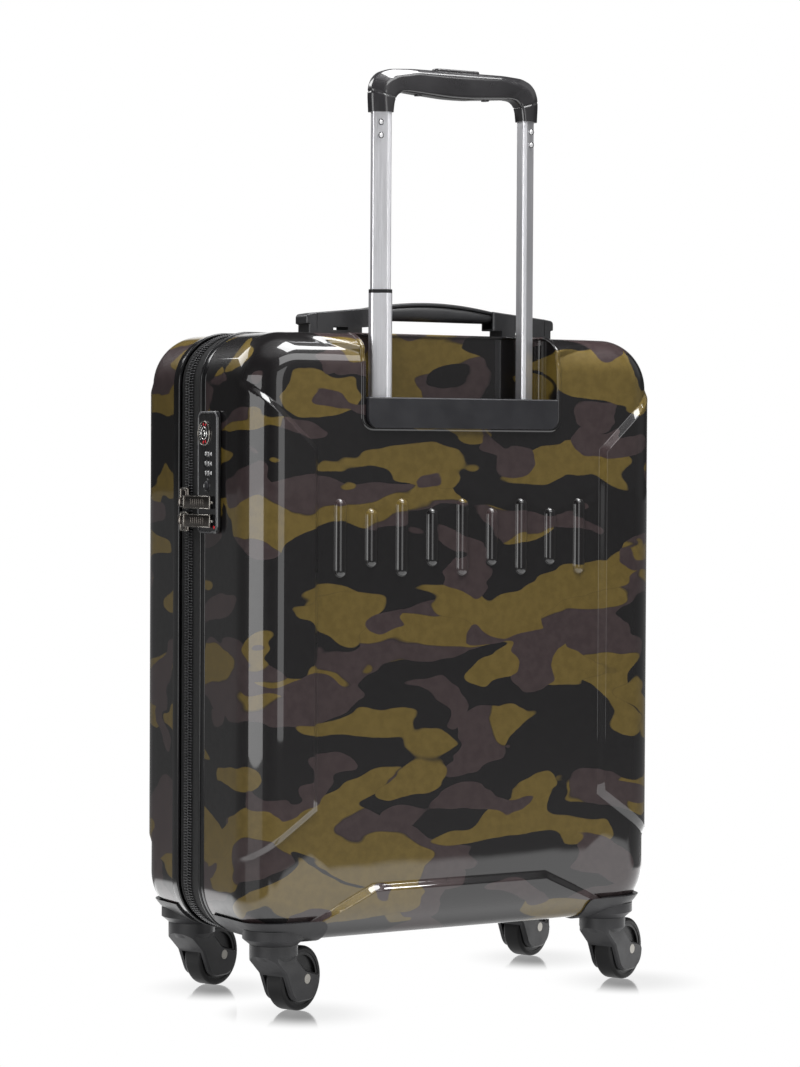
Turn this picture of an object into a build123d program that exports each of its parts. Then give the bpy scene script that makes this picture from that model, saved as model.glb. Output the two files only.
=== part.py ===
from build123d import *
import math
import os

# Cabin suitcase with a hard shell in two halves, a telescopic handle and four swivel casters.
# Millimetres. +Z is up, and the origin is on the floor under the middle of the case.
# -Y is the rear face with the telescopic handle, -X the lock side and +X the hinge side.

# Case
CASE_WIDTH = 394.8
CASE_DEPTH = 205.6
SHELL_BOTTOM = 59.0
SHELL_TOP = 551.0
CORNER_R = 42.0  # corners seen from the front
EDGE_R = 30.0  # edge between a broad face and the sides
WALL = 2.5
PANEL_STEP = 4.3  # how far the raised panels stand above the middle field
REAR_SEAM_Y = -20.0  # where the rear shell ends
FRONT_SEAM_Y = 37.0  # where the front shell ends
PARTING_Y = 10.25  # where the two halves meet
GAP = 0.1  # clearance between fixed neighbours

# Lowered field between the raised panels, half of it, from the bottom middle to the top middle
FIELD_HALF = [
    (84, 104), (123, 86), (170, 64), (230, 40), (230, 95), (192, 127), (140, 170),
    (140, 455), (171, 484), (205, 516), (230, 560), (186, 560), (138, 546), (94, 533),
]

# Seam between the halves
TRIM_OUT = 0.8  # the trim stands proud of the shell by this
TRIM_LIP = 8.0  # inner lip that holds the shell
TAPE_IN = 1.5
REAR_TRIM_Y = -12.0
FRONT_TRIM_Y = 24.7
TEETH_REAR_Y = 2.7
TEETH_FRONT_Y = 17.8
TEETH_PROUD = 2.5

# Linings
LINING_GAP = 3.2  # from the shell to the lining
LINING = 1.0
REAR_LINING_Y = -72.0  # covers the handle tubes
LINING_EDGE = 8.0  # how far a lining's edge stays from the seam trim

# Hinges on the +X side
HINGE_X = 202.4
HINGE_R = 3.0
HINGE_PIN_R = 1.2
HINGE_HEIGHTS = [150, 305, 460]
HINGE_LENGTH = 60.0
KNUCKLES = 5
LEAF_THICK = 1.6
LEAF_END = 45.0  # from the hinge axis to the leaf's free edge, along Y

# Telescopic handle
TUBE_X = 71.0
TUBE_Y = -84.0
TUBE_WIDE = 14.5
TUBE_DEEP = 10.5
TUBE_CUT_X = 10.5  # the slanted face cuts this much off the wide side
TUBE_CUT_Y = 6.0
TUBE_WALL = 1.0
TUBE_PLAY = 0.2
RIVET_HIGH = 0.12
RECESS_HALF = 95.0
RECESS_FLOOR = 474.0
RECESS_BACK_Y = -66.0
HOUSING_TOP = 499.0
GRIP_FOOT = 731.0
GRIP_TOP = 767.0
GRIP_DEEP_HALF = 7.5
GRIP_OUTER = 80.5  # outer side of the grip's legs
GRIP_INNER = 62.3  # inner side of the grip's legs
MIDDLE_LENGTH = 240.0
LEFT_MIDDLE_OUT = 88.0  # how far the left middle tube stands out at rest
INNER_LENGTH = 420.0
OUTER_FOOT = 74.0

# Carry handle
CARRY_Y = -41.0
CARRY_HALF = 121.0
CARRY_LIFT = 6.0
CARRY_INNER = 60.0  # inner end of the end blocks
CARRY_SEAM = 111.5  # joint line round the end blocks
CARRY_DEEP_HALF = 9.8
CARRY_PIN = (107.0, 563.4)  # X and Z of the pins that stop the handle
CARRY_PIN_R = 1.5
CARRY_TONGUE = 99.0  # the handle's ends go down into the blocks from here outwards

# Lock
LOCK_Y = (-48.0, -14.0)
LOCK_Z = (388.0, 487.0)
LOCK_UNDER_X = -198.4
LOCK_FACE_X = -201.4
DIAL_Z = [452.2, 444.5, 436.8]
DIAL_Y = -30.0
DIAL_R = 4.2
DIAL_DEPTH_X = -198.2  # the dials' spindle
DIAL_THICK = 4.6
KEY_Y = -26.0
KEY_Z = 469.0
KEY_R = 9.0
BUTTON_Z = 426.5

# Zip sliders
PULL_Z = [413.0, 398.0]
PULL_HINGE_X = -204.2
PULL_HINGE_Y = 12.0

# Casters: the wheels trail towards TRAIL_ANGLE, counted from +X towards +Y
SWIVEL_X = 161.0
SWIVEL_Y = 72.0
TRAIL = 27.0
TRAIL_ANGLE = 24.6
WHEEL_R = 26.5
WHEEL_WIDE = 18.0
TYRE_THICK = 5.0
FORK_HALF = 14.5
FORK_GAP_HALF = 10.2
NECK_R = 19.7
NECK_TOP = 57.2
AXLE_R = 2.5
SPIGOT_R = 7.0  # the pivot under each corner shoe that the caster turns on
SPIGOT_FOOT = 50.0
BOSS_R = 25.5
BOSS_FLARE = 4.5
RUNNING = 0.05  # radial clearance of a pin in its bore

HALF_W = CASE_WIDTH / 2
HALF_D = CASE_DEPTH / 2
MID_Z = (SHELL_BOTTOM + SHELL_TOP) / 2
SHELL_HIGH = SHELL_TOP - SHELL_BOTTOM
nodes = {}


# ---- shared shapes ------------------------------------------------------


def slab(sketch, y_low, y_high):
    """A sketch drawn in X and Z, as a block between two depths."""
    plane = Plane(origin=(0, y_high, 0), x_dir=(1, 0, 0), z_dir=(0, -1, 0))
    return extrude(plane * sketch, amount=y_high - y_low)


def block(x, y, z):
    """A box from three (low, high) pairs."""
    size = [b - a for a, b in (x, y, z)]
    middle = [(a + b) / 2 for a, b in (x, y, z)]
    return Pos(*middle) * Box(*size)


def upright(radius, x, y, z_low, z_high):
    """An upright round bar."""
    return Pos(x, y, (z_low + z_high) / 2) * Cylinder(radius, z_high - z_low)


def outline(grow=0.0):
    """The case seen from the front, grown by a distance."""
    return Pos(0, MID_Z) * RectangleRounded(
        CASE_WIDTH + 2 * grow, SHELL_HIGH + 2 * grow, CORNER_R + grow
    )


def ring(out, inside, y_low, y_high):
    """A hoop that follows the case's outline, between two distances from it."""
    return slab(outline(out) - outline(inside), y_low, y_high)


def field(grow=0.0):
    """The lowered field with its four valleys, seen from the front."""
    points = FIELD_HALF + [(-x, z) for x, z in reversed(FIELD_HALF)]
    face = make_face(Polyline(*points, close=True))
    return offset(face, amount=grow, kind=Kind.INTERSECTION) if grow else face


def half_block(side, grow, y_seam, drop):
    """Half of the case as a plain rounded block; side is -1 for the rear and 1 for the front."""
    y_face = side * (HALF_D - drop + grow)
    body = slab(outline(grow), min(y_face, y_seam), max(y_face, y_seam))
    broad = body.faces().sort_by(Axis.Y)[0 if side < 0 else -1]
    return fillet(broad.edges(), EDGE_R + grow)


def half_body(side, grow, y_seam):
    """Half of the case with its raised panels, grown by a distance."""
    reach = (side * (HALF_D + 20), side * (HALF_D - 45))
    valleys = slab(field(-grow), min(reach), max(reach))
    return half_block(side, grow, y_seam, PANEL_STEP) + (
        half_block(side, grow, y_seam, 0) - valleys
    )


def recess(grow=0.0):
    """The open pocket in the rear shell that the handle stands in."""
    body = block(
        (-RECESS_HALF - grow, RECESS_HALF + grow),
        (-HALF_D - 20, RECESS_BACK_Y + grow),
        (RECESS_FLOOR - grow, SHELL_TOP + 30),
    )
    back = body.edges().filter_by(Axis.Z).group_by(Axis.Y)[-1]
    return fillet(back, 12 + grow)


def tube_section(grow, mirror):
    """The handle tube's section: a rectangle whose outward rear corner is cut to a slanted face."""
    half_x, half_y = TUBE_WIDE / 2, TUBE_DEEP / 2
    points = [
        (-half_x, half_y),
        (half_x, half_y),
        (half_x, -half_y),
        (-half_x + TUBE_CUT_X, -half_y),
        (-half_x, -half_y + TUBE_CUT_Y),
    ]
    face = make_face(Polyline(*[(mirror * x, y) for x, y in points], close=True))
    face = fillet(face.vertices(), 1.2)
    return offset(face, amount=grow) if grow else face


def tube_bar(grow, x, z_low, z_high):
    """The tube's section as a solid bar at X, grown by a distance."""
    mirror = 1 if x < 0 else -1
    return extrude(Pos(x, TUBE_Y, z_low) * tube_section(grow, mirror), amount=z_high - z_low)


def tube(grow, x, z_low, z_high):
    """A hollow tube whose outside is the section grown by a distance."""
    return tube_bar(grow, x, z_low, z_high) - tube_bar(
        grow - TUBE_WALL, x, z_low - 1, z_high + 1
    )


# ---- shells, seam and linings -------------------------------------------

MIDDLE_GROW = TUBE_PLAY + TUBE_WALL
OUTER_GROW = 2 * MIDDLE_GROW


def lock_pocket():
    """The opening that the lock's works pass through, in the shell and the trim."""
    return block((LOCK_UNDER_X - 9, LOCK_UNDER_X + 8), (-40, -17), (416, 480))


def shells():
    rear = half_body(-1, 0, REAR_SEAM_Y) - recess()
    rear_inside = half_body(-1, -WALL, REAR_SEAM_Y + 1) - recess(WALL)
    rear = rear - rear_inside - lock_pocket()
    for x in (-TUBE_X, TUBE_X):
        rear = rear - tube_bar(OUTER_GROW + GAP, x, RECESS_FLOOR - 6, RECESS_FLOOR + 2)
    nodes["rear_shell"] = rear
    front = half_body(1, 0, FRONT_SEAM_Y)
    nodes["front_shell"] = front - half_body(1, -WALL, FRONT_SEAM_Y - 1)


def seam():
    lip_out, lip_in = -WALL - GAP, -WALL - 2.0
    rear_trim = ring(TRIM_OUT, lip_in, REAR_SEAM_Y + GAP, REAR_TRIM_Y)
    rear_trim += ring(lip_out, lip_in, REAR_SEAM_Y - TRIM_LIP, REAR_TRIM_Y)
    nodes["rear_edge_trim"] = rear_trim - lock_pocket()
    front_trim = ring(TRIM_OUT, lip_in, FRONT_TRIM_Y, FRONT_SEAM_Y - GAP)
    front_trim += ring(lip_out, lip_in, FRONT_TRIM_Y, FRONT_SEAM_Y + TRIM_LIP)
    nodes["front_edge_trim"] = front_trim
    tape = (-TAPE_IN, -TAPE_IN - 1.2)
    meet = 0.35
    nodes["rear_zip_tape"] = ring(*tape, REAR_TRIM_Y + GAP, PARTING_Y - meet)
    nodes["front_zip_tape"] = ring(*tape, PARTING_Y + meet, FRONT_TRIM_Y - GAP)
    teeth = (TEETH_PROUD - TAPE_IN, -TAPE_IN + GAP / 2)
    past_hinge_side = block((HALF_W - CORNER_R, HALF_W + 20), (-50, 60), (0, 700))
    rear_teeth = ring(*teeth, TEETH_REAR_Y, PARTING_Y - meet)
    front_teeth = ring(*teeth, PARTING_Y + meet, TEETH_FRONT_Y)
    nodes["rear_zip_teeth"] = rear_teeth - past_hinge_side
    nodes["front_zip_teeth"] = front_teeth - past_hinge_side


def lining(side, y_edge, y_back, drop):
    """A thin cloth tub inside one half, open at the seam."""
    outer = half_block(side, -WALL - LINING_GAP, y_edge, drop)
    inner = half_block(side, -WALL - LINING_GAP - LINING, y_edge - side, drop)
    if side < 0:
        outer = outer & block((-300, 300), (y_back, y_edge), (0, 700))
        inner = inner & block((-300, 300), (y_back + LINING, y_edge + 1), (0, 700))
    return outer - inner


def linings():
    rear = lining(-1, REAR_SEAM_Y - TRIM_LIP - LINING_EDGE, REAR_LINING_Y, PANEL_STEP)
    clear = RECESS_BACK_Y + WALL + LINING_GAP / 3
    step = block(
        (-RECESS_HALF - 8, RECESS_HALF + 8),
        (REAR_LINING_Y, clear + LINING),
        (RECESS_FLOOR - 8, 700),
    )
    hole = block((-RECESS_HALF - 7, RECESS_HALF + 7), (-110, clear), (RECESS_FLOOR - 7, 700))
    walls = half_block(-1, -WALL - LINING_GAP, REAR_SEAM_Y - TRIM_LIP - LINING_EDGE, PANEL_STEP)
    lock_room = block((-210, LOCK_UNDER_X + 13), (-44, -12), (410, 486))
    nodes["rear_lining"] = (rear + (step & walls)) - hole - lock_room
    nodes["front_lining"] = lining(1, FRONT_SEAM_Y + TRIM_LIP + LINING_EDGE, 0, PANEL_STEP)


# ---- hinges -------------------------------------------------------------


def hinge_leaf(side, z_middle):
    """One leaf with its knuckles; side is -1 for the rear half and 1 for the front half."""
    pitch = HINGE_LENGTH / KNUCKLES
    low = z_middle - HINGE_LENGTH / 2
    plate_x = (HALF_W + TRIM_OUT + GAP, HALF_W + TRIM_OUT + GAP + LEAF_THICK)
    near = PARTING_Y + side * 0.4
    far = PARTING_Y + side * LEAF_END
    leaf = block(plate_x, (min(near, far), max(near, far)), (low, low + HINGE_LENGTH))
    first = 0 if side < 0 else 1
    for i in range(KNUCKLES):
        z_low, z_high = low + i * pitch + 0.1, low + (i + 1) * pitch - 0.1
        if i % 2 == first:
            leaf += upright(HINGE_R, HINGE_X, PARTING_Y, z_low, z_high)
        else:
            leaf -= upright(HINGE_R + 0.3, HINGE_X, PARTING_Y, z_low - 0.2, z_high + 0.2)
    bore = HINGE_PIN_R + (RUNNING if side > 0 else 0.02)
    return leaf - upright(bore, HINGE_X, PARTING_Y, low - 1, low + HINGE_LENGTH + 1)


def hinges():
    nodes["hinge_leaves_rear"] = [hinge_leaf(-1, z) for z in HINGE_HEIGHTS]
    nodes["hinge_leaves_front"] = [hinge_leaf(1, z) for z in HINGE_HEIGHTS]
    reach = HINGE_LENGTH / 2 + 0.8
    nodes["hinge_pins"] = [
        upright(HINGE_PIN_R, HINGE_X, PARTING_Y, z - reach, z + reach) for z in HINGE_HEIGHTS
    ]


# ---- telescopic handle --------------------------------------------------


def housing():
    """The bar at the foot of the recess that the tubes come out of."""
    body = block((-92, 92), (-HALF_D + 0.4, RECESS_BACK_Y - 0.6), (RECESS_FLOOR + GAP, HOUSING_TOP))
    body = fillet(body.edges().filter_by(Axis.Z).group_by(Axis.Y)[-1], 11)
    low_front = body.edges().filter_by(Axis.Y).group_by(Axis.Z)[0]
    body = fillet(low_front, 9)
    body = chamfer(body.faces().sort_by(Axis.Z)[-1].edges(), 1.0)
    for x in (-TUBE_X, TUBE_X):
        body -= tube_bar(OUTER_GROW + GAP, x, RECESS_FLOOR - 2, HOUSING_TOP - 8)
        body -= tube_bar(MIDDLE_GROW + TUBE_PLAY, x, RECESS_FLOOR - 2, HOUSING_TOP + 2)
    nodes["trolley_housing"] = body


def foot():
    """The bracket inside the case that holds the lower ends of the outer tubes."""
    body = block((-88, 88), (-97, -74), (60, OUTER_FOOT + 18))
    body = body & half_body(-1, -WALL - 0.3, REAR_SEAM_Y)
    for x in (-TUBE_X, TUBE_X):
        body -= tube_bar(OUTER_GROW + GAP, x, OUTER_FOOT, OUTER_FOOT + 20)
    nodes["trolley_foot"] = body


def grip_side():
    """The grip seen from behind: a bar with two legs and a slightly bellied underside."""
    top, belly, haunch = GRIP_TOP, 745.5, 749
    half = [
        (0, top + 0.5), (GRIP_OUTER + 1.5, top), (GRIP_OUTER, GRIP_FOOT),
        (GRIP_INNER, GRIP_FOOT), (GRIP_INNER - 2.5, haunch), (0, belly),
    ]
    corners = half + [(-x, z) for x, z in reversed(half[1:-1])]
    face = make_face(Polyline(*corners, close=True))
    face = fillet(face.vertices().filter_by(lambda v: abs(v.Y - top) < 0.1), 22)
    return fillet(face.vertices().filter_by(lambda v: abs(v.Y - haunch) < 0.1), 7)


def grip():
    body = slab(grip_side(), TUBE_Y - GRIP_DEEP_HALF, TUBE_Y + GRIP_DEEP_HALF)
    body = chamfer(body.faces().filter_by(Axis.Y).edges(), 1.2)
    for x in (-TUBE_X, TUBE_X):
        body -= tube_bar(0.02, x, GRIP_FOOT - 5, GRIP_FOOT + 16)
    well = block((-22, 22), (TUBE_Y - 5.4, TUBE_Y + 5.4), (GRIP_TOP - 8, GRIP_TOP + 5))
    nodes["grip"] = body - well
    plate = block((-21.5, 21.5), (TUBE_Y - 5, TUBE_Y + 5), (764.2, 769.5))
    plate = fillet(plate.edges().filter_by(Axis.Z), 3.5)
    nodes["grip_button"] = fillet(plate.faces().sort_by(Axis.Z)[-1].edges(), 1.2)


def release_rods():
    """The rods inside the inner tubes that the button pushes down to free the stages."""
    low = GRIP_FOOT + 14 - INNER_LENGTH + 6
    return [upright(1.6, x, TUBE_Y + 1.2, low, GRIP_FOOT + 10) for x in (-TUBE_X, TUBE_X)]


def grip_rivets():
    """Two nearly flush rivets on the slanted face of each inner tube, clear of the next stage."""
    slant = math.atan2(TUBE_CUT_X, TUBE_CUT_Y)
    heads = []
    for x, mirror in ((-TUBE_X, 1), (TUBE_X, -1)):
        centre_x = x + mirror * (-TUBE_WIDE / 2 + TUBE_CUT_X / 2)
        centre_y = TUBE_Y - TUBE_DEEP / 2 + TUBE_CUT_Y / 2
        normal = Vector(-mirror * math.cos(slant), -math.sin(slant), 0)
        for z in (722.5, 712.2):
            seat = Plane(origin=(centre_x, centre_y, z), z_dir=normal)
            heads.append(seat * (Pos(0, 0, RIVET_HIGH / 2 + 0.02) * Cylinder(2.3, RIVET_HIGH)))
    return heads


def trolley():
    housing()
    foot()
    grip()
    nodes["outer_tubes"] = [
        tube(OUTER_GROW, x, OUTER_FOOT + GAP, HOUSING_TOP - 8 - GAP) for x in (-TUBE_X, TUBE_X)
    ]
    tops = {"left": (-TUBE_X, HOUSING_TOP + LEFT_MIDDLE_OUT), "right": (TUBE_X, HOUSING_TOP)}
    for name, (x, top) in tops.items():
        collar = 3.0
        nodes[f"middle_tube_{name}"] = tube(MIDDLE_GROW, x, top - MIDDLE_LENGTH, top - collar)
        nodes[f"middle_collar_{name}"] = tube(MIDDLE_GROW, x, top - collar + 0.02, top)
        inner_top = GRIP_FOOT + 14
        nodes[f"inner_tube_{name}"] = tube(0, x, inner_top - INNER_LENGTH, inner_top)
    nodes["grip_rivets"] = grip_rivets()
    nodes["release_rods"] = release_rods()


# ---- carry handle -------------------------------------------------------


def carry_profile():
    """The carry handle seen from behind: an arch that runs into flat ends with a tongue each."""
    end, under, foot = CARRY_HALF - 5, 559.5, 553.5
    with BuildSketch() as sketch:
        with BuildLine():
            Spline(
                (-end, 567.5), (-70, 573.5), (0, 579.5), (70, 573.5), (end, 567.5),
                tangents=[(1, 0.06), (1, -0.06)],
            )
            Polyline(
                (end, 567.5), (end, foot), (CARRY_TONGUE, foot), (CARRY_TONGUE, under), (66, under)
            )
            Spline((66, under), (0, 565.0), (-66, under), tangents=[(-1, 0.05), (-1, -0.05)])
            Polyline(
                (-66, under), (-CARRY_TONGUE, under), (-CARRY_TONGUE, foot), (-end, foot),
                (-end, 567.5),
            )
        make_face()
    return sketch.sketch


def carry_pin(side, radius, length):
    """A bar across one end block, where the handle's stop pin goes."""
    return Pos(side * CARRY_PIN[0], CARRY_Y, CARRY_PIN[1]) * Rot(90, 0, 0) * Cylinder(radius, length)


def carry_base(side):
    """One end block: a channel on a foot plate, open at the top, that the handle's end lifts in."""
    low = SHELL_TOP + GAP
    profile = [
        (CARRY_INNER, low), (CARRY_HALF - 2.5, low), (CARRY_HALF - 2.5, 558.5), (CARRY_HALF, 559.5),
        (CARRY_HALF, 567.0), (CARRY_SEAM, 568.5), (CARRY_INNER, 573.6),
    ]
    face = make_face(Polyline(*[(side * x, z) for x, z in profile], close=True))
    face = fillet(face.vertices().filter_by(lambda v: v.Y > 566 and abs(v.X) > 115), 3.4)
    body = slab(face, CARRY_Y - CARRY_DEEP_HALF, CARRY_Y + CARRY_DEEP_HALF)
    body = chamfer(body.faces().filter_by(Axis.Y).edges(), 0.9)
    wide = (CARRY_Y - 7.3, CARRY_Y + 7.3)
    body -= block(sorted((side * (CARRY_INNER - 5), side * (CARRY_HALF - 4.6))), wide, (559.2, 585))
    body -= block(
        sorted((side * (CARRY_TONGUE - 0.3), side * (CARRY_HALF - 4.6))), wide, (553.2, 575)
    )
    across = (CARRY_Y - 20, CARRY_Y + 20)
    body -= block(sorted((side * 82, side * (CARRY_TONGUE - 3))), across, (554.5, 557.2))
    body -= block(sorted((side * (CARRY_INNER - 5), side * 68.7)), across, (low - 1, 557.8))
    for y in (CARRY_Y - CARRY_DEEP_HALF, CARRY_Y + CARRY_DEEP_HALF):
        seam_x = sorted((side * (CARRY_SEAM - 0.4), side * (CARRY_SEAM + 0.4)))
        body -= block(seam_x, (y - 0.5, y + 0.5), (low + 3, 575))
    return body - carry_pin(side, CARRY_PIN_R + 0.02, 18.4)


def carry_handle():
    body = slab(carry_profile(), CARRY_Y - 7, CARRY_Y + 7)
    slot_low = CARRY_PIN[1] - CARRY_PIN_R - CARRY_LIFT - 0.05
    slot_high = CARRY_PIN[1] + CARRY_PIN_R + 0.05
    half = CARRY_PIN_R + 0.2
    for side in (-1, 1):
        x = side * CARRY_PIN[0]
        body -= block((x - half, x + half), (CARRY_Y - 20, CARRY_Y + 20), (slot_low, slot_high))
    nodes["carry_handle"] = body
    nodes["carry_handle_bases"] = [carry_base(side) for side in (-1, 1)]
    nodes["carry_handle_pins"] = [carry_pin(side, CARRY_PIN_R, 18) for side in (-1, 1)]


# ---- lock and zip sliders -----------------------------------------------


def sideways(radius, x_low, x_high, y, z):
    """A round bar along X."""
    return Pos((x_low + x_high) / 2, y, z) * Rot(0, 90, 0) * Cylinder(radius, x_high - x_low)


def lock():
    plate = block((LOCK_FACE_X, LOCK_UNDER_X), LOCK_Y, LOCK_Z)
    plate = fillet(plate.edges().filter_by(Axis.X), 6)
    plate = chamfer(plate.faces().sort_by(Axis.X)[0].edges(), 0.8)
    works = block((LOCK_UNDER_X - 0.5, LOCK_UNDER_X + 7), (-39.5, -17.5), (416.5, 479.5))
    body = plate + works
    for z in DIAL_Z:
        half = DIAL_THICK / 2 + 0.3
        room = block((-204, -193.2), (DIAL_Y - 4.9, DIAL_Y + 4.9), (z - half, z + half))
        body -= room
    body -= upright(1.0, DIAL_DEPTH_X, DIAL_Y, DIAL_Z[-1] - 6, DIAL_Z[0] + 6)
    body -= sideways(KEY_R + RUNNING, -204, -195, KEY_Y, KEY_Z)
    body -= block((-204, -196), (-34.3, -25.7), (BUTTON_Z - 3.3, BUTTON_Z + 3.3))
    nodes["lock_body"] = body
    dial_body = Cylinder(DIAL_R, DIAL_THICK)
    for number, z in enumerate(DIAL_Z, start=1):
        dial = Pos(DIAL_DEPTH_X, DIAL_Y, z) * (dial_body - Cylinder(1.0 + RUNNING, 9))
        nodes[f"lock_dial_{number}"] = chamfer(dial.edges().filter_by(
            lambda e: e.geom_type == GeomType.CIRCLE and abs(e.radius - DIAL_R) < 0.01), 0.4)
    nodes["lock_dial_spindle"] = upright(
        1.0, DIAL_DEPTH_X, DIAL_Y, DIAL_Z[-1] - 5.5, DIAL_Z[0] + 5.5
    )
    nodes["key_cylinder"] = sideways(KEY_R, LOCK_FACE_X - 0.6, -195.5, KEY_Y, KEY_Z) - block(
        (-204, -199.5), (KEY_Y - 0.6, KEY_Y + 0.6), (KEY_Z - 3.5, KEY_Z + 3.5)
    )
    button = block((LOCK_FACE_X - 0.7, -198.5), (-34, -26), (BUTTON_Z - 3, BUTTON_Z + 3))
    nodes["lock_button"] = fillet(button.edges().filter_by(Axis.X), 1.2)


def zip_slider(z):
    """A slider that straddles the teeth, with the two ears and pin that its pull hangs on."""
    body = block((-202.2, -199.0), (3.2, 17.2), (z - 5.5, z + 5.5))
    body = fillet(body.edges().filter_by(Axis.X), 2.5)
    ears = block(
        (PULL_HINGE_X - 1.4, -202.1), (PULL_HINGE_Y - 2.2, PULL_HINGE_Y + 2.2), (z - 3.4, z + 3.4)
    )
    between = block(
        (PULL_HINGE_X - 2, -202.2), (PULL_HINGE_Y - 9, PULL_HINGE_Y + 9), (z - 2.2, z + 2.2)
    )
    return body + (ears - between) + upright(0.8, PULL_HINGE_X, PULL_HINGE_Y, z - 3, z + 3)


def zip_pull(z):
    """The flat pull: an eye on the slider's pin and a plate that reaches across the lock."""
    eye = upright(1.7, PULL_HINGE_X, PULL_HINGE_Y, z - 2.0, z + 2.0)
    neck = block((PULL_HINGE_X - 0.8, PULL_HINGE_X + 0.8), (-2, PULL_HINGE_Y), (z - 2.0, z + 2.0))
    plate = block((PULL_HINGE_X - 0.9, PULL_HINGE_X + 0.9), (-44, 0), (z - 5.8, z + 5.8))
    plate = fillet(plate.edges().filter_by(Axis.X), 2)
    hole = upright(0.8 + RUNNING, PULL_HINGE_X, PULL_HINGE_Y, z - 3, z + 3)
    return (eye + neck + plate) - hole


def sliders():
    for name, z in zip(("upper", "lower"), PULL_Z):
        nodes[f"zip_slider_{name}"] = zip_slider(z)
        nodes[f"zip_pull_{name}"] = zip_pull(z)


# ---- casters ------------------------------------------------------------


def corner_shoe(side_x, side_y):
    """The cover over a lower corner, with the flared boss that the caster turns in."""
    y_seam = REAR_SEAM_Y - 4 if side_y < 0 else FRONT_SEAM_Y + 4
    region = block(
        sorted((side_x * 126, side_x * 215)), sorted((y_seam, side_y * 120)), (50, 77)
    )
    end = region.faces().sort_by(Axis.X)[0 if side_x > 0 else -1]
    region = fillet(end.edges().filter_by(Axis.Y).sort_by(Axis.Z)[-1], 8)
    cover = half_block(side_y, 1.6, y_seam, 0) & region
    x, y = side_x * SWIVEL_X, side_y * SWIVEL_Y
    flare = Pos(x, y, NECK_TOP + 0.3 + BOSS_FLARE / 2) * Cone(NECK_R + 0.3, BOSS_R, BOSS_FLARE)
    boss = flare + upright(BOSS_R, x, y, NECK_TOP + 0.3 + BOSS_FLARE, 70)
    spigot = upright(SPIGOT_R, x, y, SPIGOT_FOOT, 70)
    return (cover + boss + spigot) - half_body(side_y, GAP, y_seam + -side_y * 6)


def fork_outline():
    """One fork arm seen along the axle: a round lobe at the wheel that sweeps up to the neck."""
    straight = [(12, NECK_TOP - 1.1), (-NECK_R, NECK_TOP - 1.1), (-NECK_R, 48.8)]
    rounded = {(-1.5, 32.5): 7, (9.5, 8.6): 14, (42, 8.6): 15, (45, 28): 5, (25, 34): 8}
    face = make_face(Polyline(*straight, *rounded, (14, 44), close=True))
    for corner, radius in rounded.items():
        near = face.vertices().sort_by_distance(Vector(*corner, 0))[0]
        face = fillet(near, radius)
    return face


def caster(name, side_x, side_y):
    """Fork, hub, tyre and axle of one caster, built facing +X and then turned to its trail."""
    along = Plane(origin=(0, FORK_HALF, 0), x_dir=(1, 0, 0), z_dir=(0, -1, 0))
    arms = extrude(along * fork_outline(), amount=2 * FORK_HALF)
    arms = chamfer(arms.faces().filter_by(Axis.Y).edges(), 1.4)
    plan = upright(NECK_R, 0, 0, 0, NECK_TOP) + block((0, 60), (-20, 20), (0, NECK_TOP))
    neck = upright(NECK_R, 0, 0, 44.5, NECK_TOP)
    neck = chamfer(neck.faces().sort_by(Axis.Z)[0].edges(), 4.0)
    fork = (arms & plan) + neck - upright(SPIGOT_R + RUNNING, 0, 0, SPIGOT_FOOT - 0.5, 60)
    wheel_place = Pos(TRAIL, 0, WHEEL_R) * Rot(90, 0, 0)
    fork -= wheel_place * Cylinder(WHEEL_R + 1.7, 2 * FORK_GAP_HALF)
    fork -= wheel_place * Cylinder(AXLE_R + 0.02, 60)
    fork -= wheel_place * (Pos(0, 0, FORK_HALF) * Cylinder(4.2, 1.6))
    fork -= wheel_place * (Pos(0, 0, -FORK_HALF) * Cylinder(4.2, 1.6))

    rim_r = WHEEL_R - TYRE_THICK
    hub = Cylinder(rim_r, WHEEL_WIDE - 1)
    for face_z in (-WHEEL_WIDE / 2, WHEEL_WIDE / 2):
        dish = Pos(0, 0, face_z) * (Cylinder(rim_r - 2.5, 6) - Cylinder(7, 6))
        hub -= dish
    hub -= Cylinder(AXLE_R + RUNNING, 40)
    tyre = Cylinder(WHEEL_R, WHEEL_WIDE)
    tyre = fillet(tyre.edges().filter_by(GeomType.CIRCLE), 3.0)
    tyre -= Cylinder(rim_r + 0.02, 40)

    axle = Cylinder(AXLE_R, 2 * FORK_HALF - 1.2)
    for end in (-1, 1):
        axle += Pos(0, 0, end * (FORK_HALF - 0.43)) * Cylinder(4.0, 0.66)

    turn = Pos(side_x * SWIVEL_X, side_y * SWIVEL_Y, 0) * Rot(0, 0, TRAIL_ANGLE)
    nodes[f"{name}_corner_shoe"] = corner_shoe(side_x, side_y)
    nodes[f"{name}_caster_fork"] = turn * fork
    nodes[f"{name}_wheel_hub"] = turn * wheel_place * hub
    nodes[f"{name}_tyre"] = turn * wheel_place * tyre
    nodes[f"{name}_wheel_axle"] = turn * wheel_place * axle


def casters():
    for y_name, side_y in (("rear", -1), ("front", 1)):
        for x_name, side_x in (("left", -1), ("right", 1)):
            caster(f"{y_name}_{x_name}", side_x, side_y)


shells()
seam()
linings()
hinges()
trolley()
carry_handle()
lock()
sliders()
casters()

os.makedirs("parts", exist_ok=True)
for node, shape in nodes.items():
    solids = shape if isinstance(shape, list) else [shape]
    export_step(Compound(children=[s for part in solids for s in part.solids()]), f"parts/{node}.step")
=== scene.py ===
import math
from contextlib import contextmanager

import bmesh
import bpy
import numpy as np
from mathutils import Matrix, Vector
from mathutils.geometry import delaunay_2d_cdt


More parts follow.
